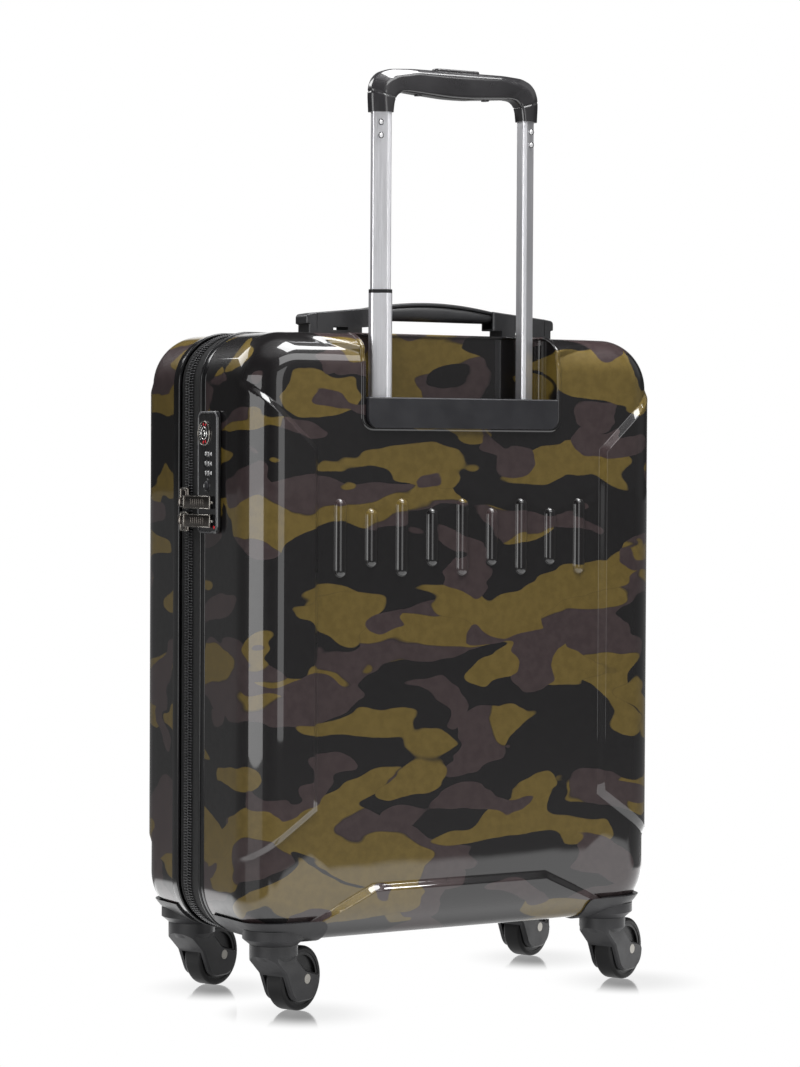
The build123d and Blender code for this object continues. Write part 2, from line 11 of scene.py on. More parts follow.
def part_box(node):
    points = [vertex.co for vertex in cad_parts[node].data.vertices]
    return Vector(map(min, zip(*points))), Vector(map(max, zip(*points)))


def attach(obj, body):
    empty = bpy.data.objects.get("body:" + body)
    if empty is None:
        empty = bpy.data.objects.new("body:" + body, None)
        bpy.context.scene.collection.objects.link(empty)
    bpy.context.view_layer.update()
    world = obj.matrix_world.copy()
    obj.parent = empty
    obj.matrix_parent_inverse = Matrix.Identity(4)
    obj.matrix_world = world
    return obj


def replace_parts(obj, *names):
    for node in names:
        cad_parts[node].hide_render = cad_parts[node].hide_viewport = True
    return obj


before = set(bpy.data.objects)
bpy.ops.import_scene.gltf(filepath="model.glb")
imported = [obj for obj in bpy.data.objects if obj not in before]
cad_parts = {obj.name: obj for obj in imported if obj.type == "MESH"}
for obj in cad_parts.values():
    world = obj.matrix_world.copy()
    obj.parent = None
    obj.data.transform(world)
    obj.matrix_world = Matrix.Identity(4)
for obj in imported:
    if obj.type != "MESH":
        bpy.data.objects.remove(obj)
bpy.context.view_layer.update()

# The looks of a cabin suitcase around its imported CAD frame. Metres, in the CAD's own frame:
# +Z up, -Y the rear face with the telescopic handle, -X the lock side, +X the hinge side.

MM = 0.001

# ---- sizes taken from the frame ----

rear_low, rear_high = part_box("rear_shell")
FRONT_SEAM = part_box("front_shell")[0].y
HALF_W = rear_high.x
HALF_H = (rear_high.z - rear_low.z) / 2
MID_Z = (rear_high.z + rear_low.z) / 2
DEPTH = -rear_low.y
REAR_SEAM = rear_high.y
CORNER_R = 42 * MM
EDGE_R = 30 * MM
STEP = 4.3 * MM
WALL = 2.2 * MM
BEVEL = 6.0 * MM
EDGE_START = EDGE_R * (1 - math.cos(math.radians(45)))  # how far in the rounded edge is half turned

# Lowered field between the raised panels: its right half in millimetres, from the bottom up
FIELD_HALF = [
    (84, 104), (123, 86), (170, 64), (230, 40), (230, 100), (192, 127), (136, 166),
    (136, 458), (167, 487), (205, 520), (230, 560), (186, 560), (138, 546), (94, 533),
]

# Handle recess in the rear shell
housing_low, housing_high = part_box("trolley_housing")
RECESS_HALF = housing_high.x + 3 * MM
RECESS_FLOOR = housing_low.z
RECESS_BACK = housing_high.y + 0.6 * MM
RECESS_CORNER = 9 * MM
RECESS_BACK_R = 12 * MM

# The four casters, as their nodes' names begin
CORNERS = [f"{a}_{b}" for a in ("rear", "front") for b in ("left", "right")]

# Opening behind the lock
LOCK_ROOM_Y = -40 * MM
LOCK_ROOM_Z = (415 * MM, 482 * MM)


# ---- materials ----


class Nodes:
    """Short helpers for adding and wiring the nodes of one tree."""

    def __init__(self, tree):
        self.tree = tree

    def add(self, kind, **settings):
        node = self.tree.nodes.new(kind)
        for key, value in settings.items():
            setattr(node, key, value)
        return node

    def feed(self, socket, value):
        if isinstance(value, bpy.types.NodeSocket):
            self.tree.links.new(value, socket)
        elif isinstance(value, tuple) and len(value) == 3 and socket.type == "RGBA":
            socket.default_value = (*value, 1)
        else:
            socket.default_value = value

    def made(self, kind, *values, output=0, **settings):
        """A new node's output, with values or links fed to its first inputs."""
        node = self.add(kind, **settings)
        for socket, value in zip(list(node.inputs), values):
            self.feed(socket, value)
        return node.outputs[output] if node.outputs else None

    def math(self, operation, a, b=0.0):
        return self.made("ShaderNodeMath", a, b, operation=operation)

    def vector(self, operation, a, b=(0, 0, 0), output=0):
        return self.made("ShaderNodeVectorMath", a, b, operation=operation, output=output)

    def dot(self, a, b):
        return self.vector("DOT_PRODUCT", a, b, "Value")

    def span(self, value, low, high, to_low=0.0, to_high=1.0):
        """value between low and high as a smooth step between two results."""
        values = (value, low, high, to_low, to_high)
        return self.made("ShaderNodeMapRange", *values, interpolation_type="SMOOTHSTEP")


class Shader(Nodes):
    """A Principled material; every pattern starts from the object's own coordinates."""

    def __init__(self, name, **inputs):
        self.material = bpy.data.materials.new(name)
        self.material.use_nodes = True
        super().__init__(self.material.node_tree)
        self.bsdf = self.tree.nodes["Principled BSDF"]
        self.place = self.add("ShaderNodeTexCoord").outputs["Object"]
        for key, value in inputs.items():
            self.set(key.replace("_", " "), value)

    def set(self, name, value):
        self.feed(self.bsdf.inputs[name], value)

    def scaled(self, stretch, vector=None):
        return self.vector("MULTIPLY", vector or self.place, stretch)

    def moved(self, offset, vector=None):
        return self.vector("ADD", vector or self.place, offset)

    def noise_node(self, scale, detail, vector):
        node = self.add("ShaderNodeTexNoise")
        for name, value in (("Vector", vector or self.place), ("Scale", scale), ("Detail", detail)):
            self.feed(node.inputs[name], value)
        return node

    def noise(self, scale, detail=2.0, rough=0.5, vector=None):
        node = self.noise_node(scale, detail, vector)
        self.feed(node.inputs["Roughness"], rough)
        return node.outputs["Fac"]

    def warped(self, scale, amount, vector=None):
        """The place, pushed about by a soft noise."""
        colour = self.noise_node(scale, 1.5, vector).outputs["Color"]
        centred = self.moved((-0.5, -0.5, -0.5), colour)
        return self.moved(self.scaled((amount,) * 3, centred), vector)

    def mix(self, factor, a, b):
        node = self.add("ShaderNodeMix", data_type="RGBA")
        for key, value in (("Factor", factor), (6, a), (7, b)):
            self.feed(node.inputs[key], value)
        return node.outputs[2]

    def bump(self, height, distance, strength=1.0):
        node = self.add("ShaderNodeBump")
        for name, value in (("Height", height), ("Distance", distance), ("Strength", strength)):
            self.feed(node.inputs[name], value)
        return node.outputs[0]


def camo_print():
    """Glossy printed polycarbonate: olive, taupe and black patches under a clear coat."""
    s = Shader("camo_print", Coat_Weight=1.0, Coat_Roughness=0.025, Coat_IOR=1.5)
    s.set("Specular IOR Level", 0.12)
    flat = s.scaled((0.82, 1.0, 1.75))
    print_place = s.warped(24, 0.036, s.warped(7, 0.05, flat))
    grain = s.noise(140, 3, 0.6)

    def patches(offset, scale):
        return s.noise(scale, 0.6, 0.4, vector=s.moved(offset, print_place))

    def over(below, field, level, colour, outline=0.0):
        """Ink laid over what is below wherever a noise field passes a level."""
        inked = s.mix(s.span(field, level - 0.003, level + 0.003), below, colour)
        gap = s.math("ABSOLUTE", s.math("SUBTRACT", field, level))
        return s.mix(s.span(gap, 0.002, 0.007, outline, 0), inked, (0.006, 0.005, 0.004))

    olive = s.mix(s.span(grain, 0.3, 0.7), (0.0545, 0.0372, 0.0074), (0.0670, 0.0460, 0.0098))
    taupe = s.mix(s.span(grain, 0.3, 0.7), (0.0182, 0.0120, 0.0125), (0.0232, 0.0158, 0.0160))
    black = (0.0032, 0.0028, 0.0030)
    colour = over(olive, patches((3.1, 1.7, 0.4), 12.5), 0.503, taupe, 0.45)
    colour = over(colour, patches((7.3, 5.2, 2.6), 11.0), 0.462, black)
    colour = over(colour, patches((1.9, 8.4, 6.1), 15.0), 0.615, olive, 0.2)
    colour = over(colour, patches((5.5, 2.4, 9.1), 17.0), 0.625, taupe)
    s.set("Base Color", colour)
    s.set("Coat Normal", s.bump(s.noise(16, 1.5, 0.5), 0.0006, 0.22))
    s.set("Roughness", s.span(grain, 0.2, 0.8, 0.34, 0.44))
    return s.material


def moulded(name, colour, rough, grain=2600.0, depth=0.00005, coat=0.0, worn=0.25, sheen=0.5):
    """Moulded plastic or rubber with a fine spark-eroded grain and soft wear in its sheen."""
    s = Shader(name, Coat_Weight=coat, Coat_Roughness=0.06, Specular_IOR_Level=sheen)
    cloud = s.noise(18, 4, 0.6)
    lighter = tuple(c * (1 + worn) + 0.002 for c in colour)
    s.set("Base Color", s.mix(s.span(cloud, 0.35, 0.7), colour, lighter))
    s.set("Roughness", s.span(s.noise(60, 3, 0.6), 0.3, 0.75, rough - 0.05, rough + 0.07))
    s.set("Normal", s.bump(s.noise(grain, 2, 0.5), depth, 0.5))
    return s.material


def brushed(name, colour, rough, along):
    """Drawn metal: fine lines along one axis, and a soft change of sheen."""
    s = Shader(name, Metallic=1.0)
    lines = s.noise(1.0, 4, 0.7, vector=s.scaled(along))
    s.set("Base Color", s.mix(s.span(lines, 0.3, 0.7), colour, tuple(c * 1.12 for c in colour)))
    s.set("Roughness", s.span(lines, 0.25, 0.8, rough - 0.04, rough + 0.08))
    s.set("Normal", s.bump(lines, 0.00002, 0.5))
    return s.material


def cloth(name, colour, thread, depth, sheen=0.3, rough=0.85):
    """Woven cloth: two crossed sets of threads with uneven dye, and painted shade where the weave dips.
    """
    s = Shader(name, Sheen_Weight=sheen, Roughness=rough)
    split = s.add("ShaderNodeSeparateXYZ")
    s.feed(split.inputs[0], s.place)
    run = 2 * math.pi / thread
    across = s.math("SINE", s.math("MULTIPLY", s.math("ADD", split.outputs[0], split.outputs[1]), run))
    upward = s.math("SINE", s.math("MULTIPLY", split.outputs[2], run))
    weave = s.math("MULTIPLY", across, upward)
    dye = s.noise(35, 4, 0.6)
    # Painted shade: the colour darkens where the weave's threads dip, following the bump's pattern, on
    # top of the uneven dye.
    shade = s.math("MULTIPLY", weave, 0.2)
    dark = tuple(c * 0.65 for c in colour)
    s.set("Base Color", s.mix(s.span(s.math("ADD", shade, dye), 0.1, 0.9), dark, colour))
    s.set("Normal", s.bump(weave, depth, 0.6))
    return s.material


SHELL = camo_print()
TRIM = moulded("trim_black", (0.003, 0.003, 0.0033), 0.14, coat=0.35, sheen=0.25)
TAPE = cloth("zip_tape_weave", (0.004, 0.004, 0.0043), 0.0011, 0.00012, sheen=0.0)
TEETH = moulded("zip_nylon", (0.018, 0.018, 0.019), 0.28, grain=4000, sheen=0.4)
CASTER = moulded("caster_grey", (0.011, 0.011, 0.012), 0.40, grain=2200, depth=0.00007, sheen=0.3)
HOUSING = moulded("housing_grey", (0.011, 0.011, 0.0125), 0.36, grain=2200, depth=0.00007, sheen=0.3)
HUB = moulded("hub_black", (0.006, 0.006, 0.0065), 0.38, sheen=0.25)
TYRE = moulded("tyre_urethane", (0.005, 0.005, 0.0053), 0.45, grain=1500, depth=0.00006, sheen=0.2)
GLOSS_BLACK = moulded(
    "gloss_black", (0.009, 0.0085, 0.0095), 0.32, grain=900, depth=0.000006, coat=1.0, sheen=0.35
)
SOFT_BLACK = moulded("soft_touch_black", (0.013, 0.013, 0.014), 0.38, grain=3000, depth=0.00006)
LOCK_BLACK = moulded("lock_black", (0.007, 0.007, 0.0075), 0.2, grain=1500, depth=0.00001, coat=0.5)
LOCK_EDGE = moulded("lock_edge", (0.050, 0.050, 0.052), 0.24, grain=1500, depth=0.00001, coat=0.3)
HINGE_BLACK = moulded("hinge_black", (0.014, 0.014, 0.015), 0.36)
ALUMINIUM = brushed("satin_aluminium", (0.86, 0.86, 0.89), 0.40, (2600, 2600, 14))
STEEL = brushed("plain_steel", (0.50, 0.50, 0.51), 0.28, (900, 900, 900))
AXLE = brushed("axle_steel", (0.24, 0.23, 0.21), 0.30, (700, 700, 700))
RIVET = brushed("rivet_steel", (0.86, 0.86, 0.87), 0.42, (900, 900, 900))
CHROME = brushed("bright_pin", (0.85, 0.85, 0.84), 0.14, (700, 700, 700))
NICKEL = brushed("dark_nickel", (0.16, 0.145, 0.13), 0.22, (1400, 300, 300))
BRIGHT_NICKEL = brushed("bright_nickel", (0.36, 0.34, 0.31), 0.22, (900, 300, 300))
LINING = cloth("lining_cloth", (0.045, 0.045, 0.050), 0.0016, 0.00008, sheen=0.5, rough=0.7)
WHITE_INK = moulded("white_ink", (0.42, 0.42, 0.42), 0.45, worn=0.0, sheen=0.3)
RED_INK = moulded("red_ink", (0.42, 0.015, 0.02), 0.4, worn=0.1)


# ---- mesh helpers ----


def box_mm(node):
    """A CAD node's lowest, highest and middle point, in millimetres."""
    low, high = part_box(node)
    return low / MM, high / MM, (low + high) / (2 * MM)


def build(name, verts, faces, material, body, slot):
    """A mesh object from arrays, that moves with a CAD body."""
    mesh = bpy.data.meshes.new(name)
    mesh.from_pydata([tuple(v) for v in verts], [], [tuple(f) for f in faces])
    mesh.validate()
    mesh.update()
    mesh.polygons.foreach_set("use_smooth", [True] * len(mesh.polygons))
    mesh.materials.append(material)
    piece = bpy.data.objects.new(name, mesh)
    bpy.context.scene.collection.objects.link(piece)
    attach(piece, body)
    return piece


@contextmanager
def edited(piece):
    """An object's mesh as a bmesh, written back at the end."""
    bm = bmesh.new()
    bm.from_mesh(piece.data)
    yield bm
    bm.to_mesh(piece.data)
    bm.free()


def outward(piece, merge=1e-6):
    """Merges doubled points and turns every face of a closed mesh to the outside."""
    with edited(piece) as bm:
        bmesh.ops.remove_doubles(bm, verts=bm.verts, dist=merge)
        bmesh.ops.recalc_face_normals(bm, faces=bm.faces)
    return piece


def join(name, parts, material, body, slot, sharp=None, replaces=None):
    """One object from several (verts, faces) parts, perhaps in place of a CAD node."""
    verts, faces = [], []
    for v, f in parts:
        faces.extend(tuple(i + len(verts) for i in face) for face in f)
        verts.extend(v)
    piece = outward(build(name, verts, faces, material, body, slot))
    if sharp:
        crease(piece, sharp)
    if replaces:
        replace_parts(piece, replaces)


def crease(piece, degrees):
    """Shades edges sharper than an angle as corners."""
    with edited(piece) as bm:
        for edge in bm.edges:
            if len(edge.link_faces) == 2 and edge.calc_face_angle(0) > math.radians(degrees):
                edge.smooth = False


def grid_faces(rows, columns, close_rows=False, close_columns=False):
    """Quads over a grid of points stored row by row."""
    faces = []
    for i in range(rows if close_rows else rows - 1):
        for j in range(columns if close_columns else columns - 1):
            a, b = i * columns + j, i * columns + (j + 1) % columns
            k = ((i + 1) % rows) * columns
            faces.append((a, b, k + (j + 1) % columns, k + j))
    return faces


def tube(rings):
    """A closed skin over rings of points, as (verts, faces)."""
    count = len(rings[0])
    verts = [point for ring in rings for point in ring]
    faces = grid_faces(len(rings), count, close_columns=True)
    return verts, faces + [tuple(range(count)), tuple(reversed(range(len(verts) - count, len(verts))))]


def circle(radius, height, segments, place):
    """Points round local Z at one height, put in place by a matrix."""
    angles = (2 * math.pi * k / segments for k in range(segments))
    return [place @ Vector((radius * math.cos(a), radius * math.sin(a), height)) for a in angles]


def lathe(profile, segments, place):
    """A body of revolution about local Z from (radius, height) points in millimetres."""
    return tube([circle(r * MM, h * MM, segments, place) for r, h in profile])


def ring_of(place, profile, segments=48):
    """A closed ring about local Z from a loop of (radius, height) points in millimetres."""
    verts = [point for r, h in profile for point in circle(r * MM, h * MM, segments, place)]
    return verts, grid_faces(len(profile), segments, True, True)


def soft_box(low, high, radius, steps=3):
    """A box in millimetres with rounded edges and corners, as (verts, faces)."""
    middle = Vector([(a + b) * MM / 2 for a, b in zip(low, high)])
    size = Vector([(b - a) * MM for a, b in zip(low, high)])
    bm = bmesh.new()
    bmesh.ops.create_cube(bm, size=1, matrix=Matrix.LocRotScale(middle, None, size))
    bmesh.ops.bevel(
        bm, geom=bm.edges, offset=radius * MM, segments=steps, profile=0.5, affect="EDGES"
    )
    bm.verts.ensure_lookup_table()
    part = [v.co.copy() for v in bm.verts], [[v.index for v in f.verts] for f in bm.faces]
    bm.free()
    return part


def put(place, part):
    """A part moved by a matrix."""
    verts, faces = part
    return [place @ v for v in verts], faces


def arc(cx, cy, radius, start, stop, steps):
    """Points round part of a circle, between two angles in degrees."""
    angles = [math.radians(start + (stop - start) * k / steps) for k in range(steps + 1)]
    return [(cx + radius * math.cos(a), cy + radius * math.sin(a)) for a in angles]


def soft_polygon(corners, steps=5):
    """A closed polygon from (x, y, cut-back) corners, each rounded by a curve between its sides."""
    points = []
    for i, (x, y, cut) in enumerate(corners):
        corner = Vector((x, y))
        ends = []
        for other in (corners[i - 1], corners[(i + 1) % len(corners)]):
            aside = Vector(other[:2]) - corner
            ends.append(corner + aside.normalized() * min(cut, aside.length * 0.49))
        for k in range(steps + 1):
            t = k / steps
            points.append((1 - t) ** 2 * ends[0] + 2 * t * (1 - t) * corner + t * t * ends[1])
    return points


# ---- the case's outline ----


def corner_distance(x, z, half_w, half_h, radius):
    """Signed distance from points to a rounded rectangle about the case's middle."""
    qx = np.abs(x) - (half_w - radius)
    qz = np.abs(z - MID_Z) - (half_h - radius)
    outside = np.hypot(np.maximum(qx, 0), np.maximum(qz, 0))
    return outside + np.minimum(np.maximum(qx, qz), 0) - radius


def corner_normals(x, z, half_w, half_h, radius):
    """Directions out of a rounded rectangle about the case's middle, at points near its edge."""
    tall = z - MID_Z
    out = np.stack([
        np.maximum(np.abs(x) - (half_w - radius), 0) * np.sign(x),
        np.maximum(np.abs(tall) - (half_h - radius), 0) * np.sign(tall),
    ], -1)
    return out / np.maximum(np.linalg.norm(out, axis=1), 1e-9)[:, None]


def between_points(a, b, spacing):
    """Evenly spaced points on the straight line between two points, without its ends."""
    count = int(math.dist(a, b) / spacing)
    return [(a[0] + (b[0] - a[0]) * i / count, a[1] + (b[1] - a[1]) * i / count)
            for i in range(1, count)]


def outline_path(arc_steps=20, straight=12 * MM):
    """Points round the case's outline with their outward normals, from the middle of the +X side."""
    a, b, r = HALF_W - CORNER_R, HALF_H - CORNER_R, CORNER_R
    points = [(HALF_W, 0.0, 1.0, 0.0)]
    for cx, cz, turn in ((a, b, 0), (-a, b, 90), (-a, -b, 180), (a, -b, 270)):
        corner = list(zip(arc(cx, cz, r, turn, turn + 90, arc_steps),
                          arc(0, 0, 1, turn, turn + 90, arc_steps)))
        start, normal = corner[0]
        points += [(*p, *normal) for p in between_points(points[-1][:2], start, straight)]
        points += [(*p, *n) for p, n in corner]
    points += [(*p, 1.0, 0.0) for p in between_points(points[-1][:2], points[0][:2], straight)]
    points = np.array(points)
    points[:, 1] += MID_Z
    return points


def hoop(profile):
    """A bead that follows the outline; the profile is (distance out, y) points in millimetres."""
    path = outline_path()
    profile = [(out * MM, y * MM) for out, y in profile]
    verts = [(x + nx * out, y, z + nz * out) for x, z, nx, nz in path for out, y in profile]
    return verts, grid_faces(len(path), len(profile), True, True)


def rounded_profile(out_low, out_high, y_low, y_high, radius, steps=4):
    """A rectangle in (distance out, y) with rounded outer corners."""
    points = [(out_low, y_low)]
    for cy, turn in ((y_low + radius, 270), (y_high - radius, 0)):
        points += arc(out_high - radius, cy, radius, turn, turn + 90, steps)
    return points + [(out_low, y_high)]


# ---- shells ----


def field_polygon():
    """The lowered field's whole outline."""
    right = [(px * MM, pz * MM) for px, pz in FIELD_HALF]
    return right + [(-px, pz) for px, pz in reversed(right)]


def segment_distance(x, z, ax, az, bx, bz):
    """Distance from points to the straight line between two ends."""
    dx, dz = bx - ax, bz - az
    t = np.clip(((x - ax) * dx + (z - az) * dz) / (dx * dx + dz * dz), 0, 1)
    return np.hypot(x - ax - t * dx, z - az - t * dz)


def field_distance(x, z):
    """Signed distance to the lowered field, negative inside it."""
    points = np.array(field_polygon())
    best = np.full(x.shape, 1e9)
    inside = np.zeros(x.shape, bool)
    for (ax, az), (bx, bz) in zip(points, np.roll(points, -1, axis=0)):
        best = np.minimum(best, segment_distance(x, z, ax, az, bx, bz))
        rise = 1e-12 if bz == az else bz - az
        inside ^= ((az > z) != (bz > z)) & (x < (bx - ax) * (z - az) / rise + ax)
    return np.where(inside, -best, best)


def raised(x, z):
    """How far up the step between field and raised panel each point is, from 0 to 1."""
    t = np.clip(field_distance(x, z) / BEVEL, 0, 1)
    soft = 0.16
    middle = (t - soft / 2) / (1 - soft)
    foot, crown = t * t / (2 * soft * (1 - soft)), 1 - (1 - t) ** 2 / (2 * soft * (1 - soft))
    return np.where(t < soft, foot, np.where(t > 1 - soft, crown, middle))


BARS = [
    (k * 29 * MM, (385 - tall / 2) * MM, k * 29 * MM, (385 + tall / 2) * MM)
    for k, tall in zip(range(-4, 5), (52, 36) * 4 + (52,))
]
BAR_HALF = 5.6 * MM
BAR_HEIGHT = 3.6 * MM


def motif(x, z):
    """A row of plain upright bars pressed out of the rear face, as a height."""
    height = np.zeros(x.shape)
    for bar in BARS:
        share = np.clip(segment_distance(x, z, *bar) / BAR_HALF, 0, 1)
        height = np.maximum(height, BAR_HEIGHT * np.sqrt(1 - share**2))
    return height


def surface_depth(x, z, with_motif):
    """How far from the middle plane the broad face lies at each point."""
    inside = -corner_distance(x, z, HALF_W, HALF_H, CORNER_R)
    drop = np.clip(EDGE_R - inside, 0, EDGE_R * 0.9999)
    round_off = EDGE_R - np.sqrt(EDGE_R**2 - drop**2)
    depth = DEPTH - STEP * (1 - raised(x, z)) - round_off
    return depth + motif(x, z) if with_motif else depth


def in_recess(x, z, margin):
    """Whether points lie in the handle recess, kept a margin inside its rim."""
    half = RECESS_HALF - margin
    low = RECESS_FLOOR + margin
    cx, cz = half - RECESS_CORNER, low + RECESS_CORNER
    in_corner = (np.abs(x) > cx) & (z < cz)
    outside = np.hypot(np.abs(x) - cx, z - cz) > RECESS_CORNER
    return (np.abs(x) < half) & (z > low) & ~(in_corner & outside)


class Plan:
    """Points and edges of a flat drawing, in X and Z, that becomes one triangle mesh."""

    def __init__(self):
        self.points, self.edges = [], []

    def loop(self, points):
        start, count = len(self.points), len(points)
        self.points.extend(Vector(p) for p in points)
        self.edges.extend((start + i, start + (i + 1) % count) for i in range(count))

    def triangles(self):
        verts, _, faces, *_ = delaunay_2d_cdt(self.points, self.edges, [], 0, 1e-6)
        return np.array([tuple(v) for v in verts]), np.array(faces)


def short_edges(points, longest):
    """A closed polygon with its long edges cut into short ones."""
    out = []
    for (ax, az), (bx, bz) in zip(points, [*points[1:], points[0]]):
        count = max(1, math.ceil(math.hypot(bx - ax, bz - az) / longest))
        out += [(ax + (bx - ax) * i / count, az + (bz - az) * i / count) for i in range(count)]
    return out


def mitred(points, distance):
    """An anticlockwise polygon moved outward by a distance."""
    p = np.array(points)
    along = np.roll(p, -1, axis=0) - p
    along /= np.linalg.norm(along, axis=1)[:, None]
    after = np.stack([along[:, 1], -along[:, 0]], -1)
    before = np.roll(after, 1, axis=0)
    reach = 1 + (before * after).sum(1)
    return [tuple(v) for v in p + distance * (before + after) / reach[:, None]]


def capsule(bar, distance, steps=9):
    """Points at one distance round a bar's middle line."""
    ax, az, bx, bz = bar
    lean = math.degrees(math.atan2(bz - az, bx - ax))
    points = arc(bx, bz, distance, lean - 90, lean + 90, steps)
    return short_edges(points + arc(ax, az, distance, lean + 90, lean + 270, steps), 8 * MM)


def recess_opening():
    """The recess's outline on the broad face, running on past the top of the case."""
    half, low, r = RECESS_HALF, RECESS_FLOOR, RECESS_CORNER
    points = [(half, rear_high.z + 10 * MM), (-half, rear_high.z + 10 * MM)]
    points += arc(r - half, low + r, r, 180, 270, 8) + arc(half - r, low + r, r, 270, 360, 8)
    return short_edges(points, 6 * MM)


def wall_faces(border, start, rings):
    """Quads that join a border of points to closed rings stored one after another."""
    count = len(border)
    rows = [border] + [np.arange(count) + start + i * count for i in range(rings)]
    ahead = np.roll(np.arange(count), -1)
    return np.concatenate([np.stack([a, b, b[ahead], a[ahead]], -1) for a, b in zip(rows, rows[1:])])


def walk_order(x, z, normal):
    """The order of points once round the outline: by their normal, then along it."""
    far = 30
    turn = np.arctan2(z + far * normal[:, 1], x + far * normal[:, 0])
    return np.lexsort((z * normal[:, 0] - x * normal[:, 1], np.round(turn, 9)))


def broad_face(rear):
    """The broad face up to where its rounded edge reaches 45 degrees, as (verts, faces, border)."""
    path = outline_path(arc_steps=24, straight=3 * MM)
    plan = Plan()
    for angle in (45, 39, 33, 27, 21, 16, 11, 6, 0):
        inset = EDGE_R * (1 - math.sin(math.radians(angle)))
        plan.loop(path[:, :2] - path[:, 2:] * inset)
    for share in (-0.10, -0.02, 0.06, 0.15, 0.28, 0.45, 0.62, 0.78, 0.90, 0.98, 1.04, 1.12):
        plan.loop(short_edges(mitred(field_polygon(), share * BEVEL), 9 * MM))
    if rear:
        for bar in BARS:
            for d in (0.05, 1.2, 2.2, 3.1, 3.9, 4.5, 4.95, 5.25, 5.45, 5.56, 5.6, 5.9):
                plan.loop(capsule(bar, d * MM))
        plan.loop(recess_opening())
    flat, faces = plan.triangles()
    cx, cz = flat[faces].mean(1).T
    gone = corner_distance(cx, cz, HALF_W, HALF_H, CORNER_R) > -EDGE_START
    if rear:
        gone |= in_recess(cx, cz, 0)
    x, z = flat.T
    border = np.abs(corner_distance(x, z, HALF_W, HALF_H, CORNER_R) + EDGE_START) < 2e-6
    depth = surface_depth(x, z, rear)
    return np.stack([x, depth if not rear else -depth, z], -1), faces[~gone], np.nonzero(border)[0]


def edge_rings(x, z, normal, side, stops):
    """Rings of points down the rounded edge and then along the side wall to each stop."""
    rings = []
    for angle in np.radians(np.linspace(45, 0, 9)[1:]):
        out = EDGE_START - EDGE_R * (1 - math.cos(angle))
        rx, rz = x + normal[:, 0] * out, z + normal[:, 1] * out
        depth = DEPTH - EDGE_R + EDGE_R * math.sin(angle) - STEP * (1 - raised(rx, rz))
        rings.append(np.stack([rx, side * depth, rz], -1))
    for y in stops:
        ring = rings[-1].copy()
        ring[:, 1] = y
        rings.append(ring)
    return rings


def in_openings(x, y, z):
    """Whether points of the rear half's side wall lie behind the handle or behind the lock."""
    behind_handle = (np.abs(x) < RECESS_HALF) & (z > MID_Z) & (y < RECESS_BACK)
    at_lock = (x < -HALF_W + 1 * MM) & (y > LOCK_ROOM_Y)
    return behind_handle | (at_lock & (z > LOCK_ROOM_Z[0]) & (z < LOCK_ROOM_Z[1]))


def shell(name, side, seam, node):
    """One half of the case: broad face, rounded edges and side walls, with its real thickness."""
    rear = side < 0
    verts, faces, border = broad_face(rear)
    x, _, z = verts[border].T
    normal = corner_normals(x, z, HALF_W, HALF_H, CORNER_R)
    order = walk_order(x, z - MID_Z, normal)
    border, normal = border[order], normal[order]
    stops = [RECESS_BACK, -50 * MM, LOCK_ROOM_Y, seam] if rear else [60 * MM, 48 * MM, seam]
    rings = edge_rings(x[order], z[order], normal, side, stops)
    every = np.concatenate([verts, *rings])
    sides = wall_faces(border, len(verts), len(rings))
    if rear:
        sides = sides[~in_openings(*every[sides].mean(1).T)]
    used = np.unique(np.concatenate([faces.ravel(), sides.ravel()]))
    index = np.full(len(every), -1)
    index[used] = np.arange(len(used))
    faces = [*index[faces].tolist(), *index[sides].tolist()]
    piece = build(name, every[used], faces, SHELL, "case" if rear else "lid", "camo_shell")
    face_outward(piece, side)
    thicken(piece, WALL, -1)
    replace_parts(piece, node)


def face_outward(piece, side):
    """Turns an open shell's faces so that its broad face looks away from the middle."""
    with edited(piece) as bm:
        bmesh.ops.recalc_face_normals(bm, faces=bm.faces)
        broad = max(bm.faces, key=lambda f: side * f.calc_center_median().y)
        if broad.normal.y * side < 0:
            bmesh.ops.reverse_faces(bm, faces=bm.faces)


def thicken(piece, amount, offset):
    """Gives a sheet its thickness, with square edges."""
    with edited(piece) as bm:
        for edge in bm.edges:
            if edge.is_boundary:
                edge.smooth = False
    solid = piece.modifiers.new("thickness", "SOLIDIFY")
    solid.thickness = amount
    solid.offset = offset
    solid.use_even_offset = False


# ---- handle recess ----


def top_height(y):
    """Height of the case's top over a depth behind the middle, following the rounded edge."""
    drop = np.clip(-y - (DEPTH - EDGE_R), 0, EDGE_R)
    return rear_high.z - EDGE_R + np.sqrt(EDGE_R**2 - drop**2)


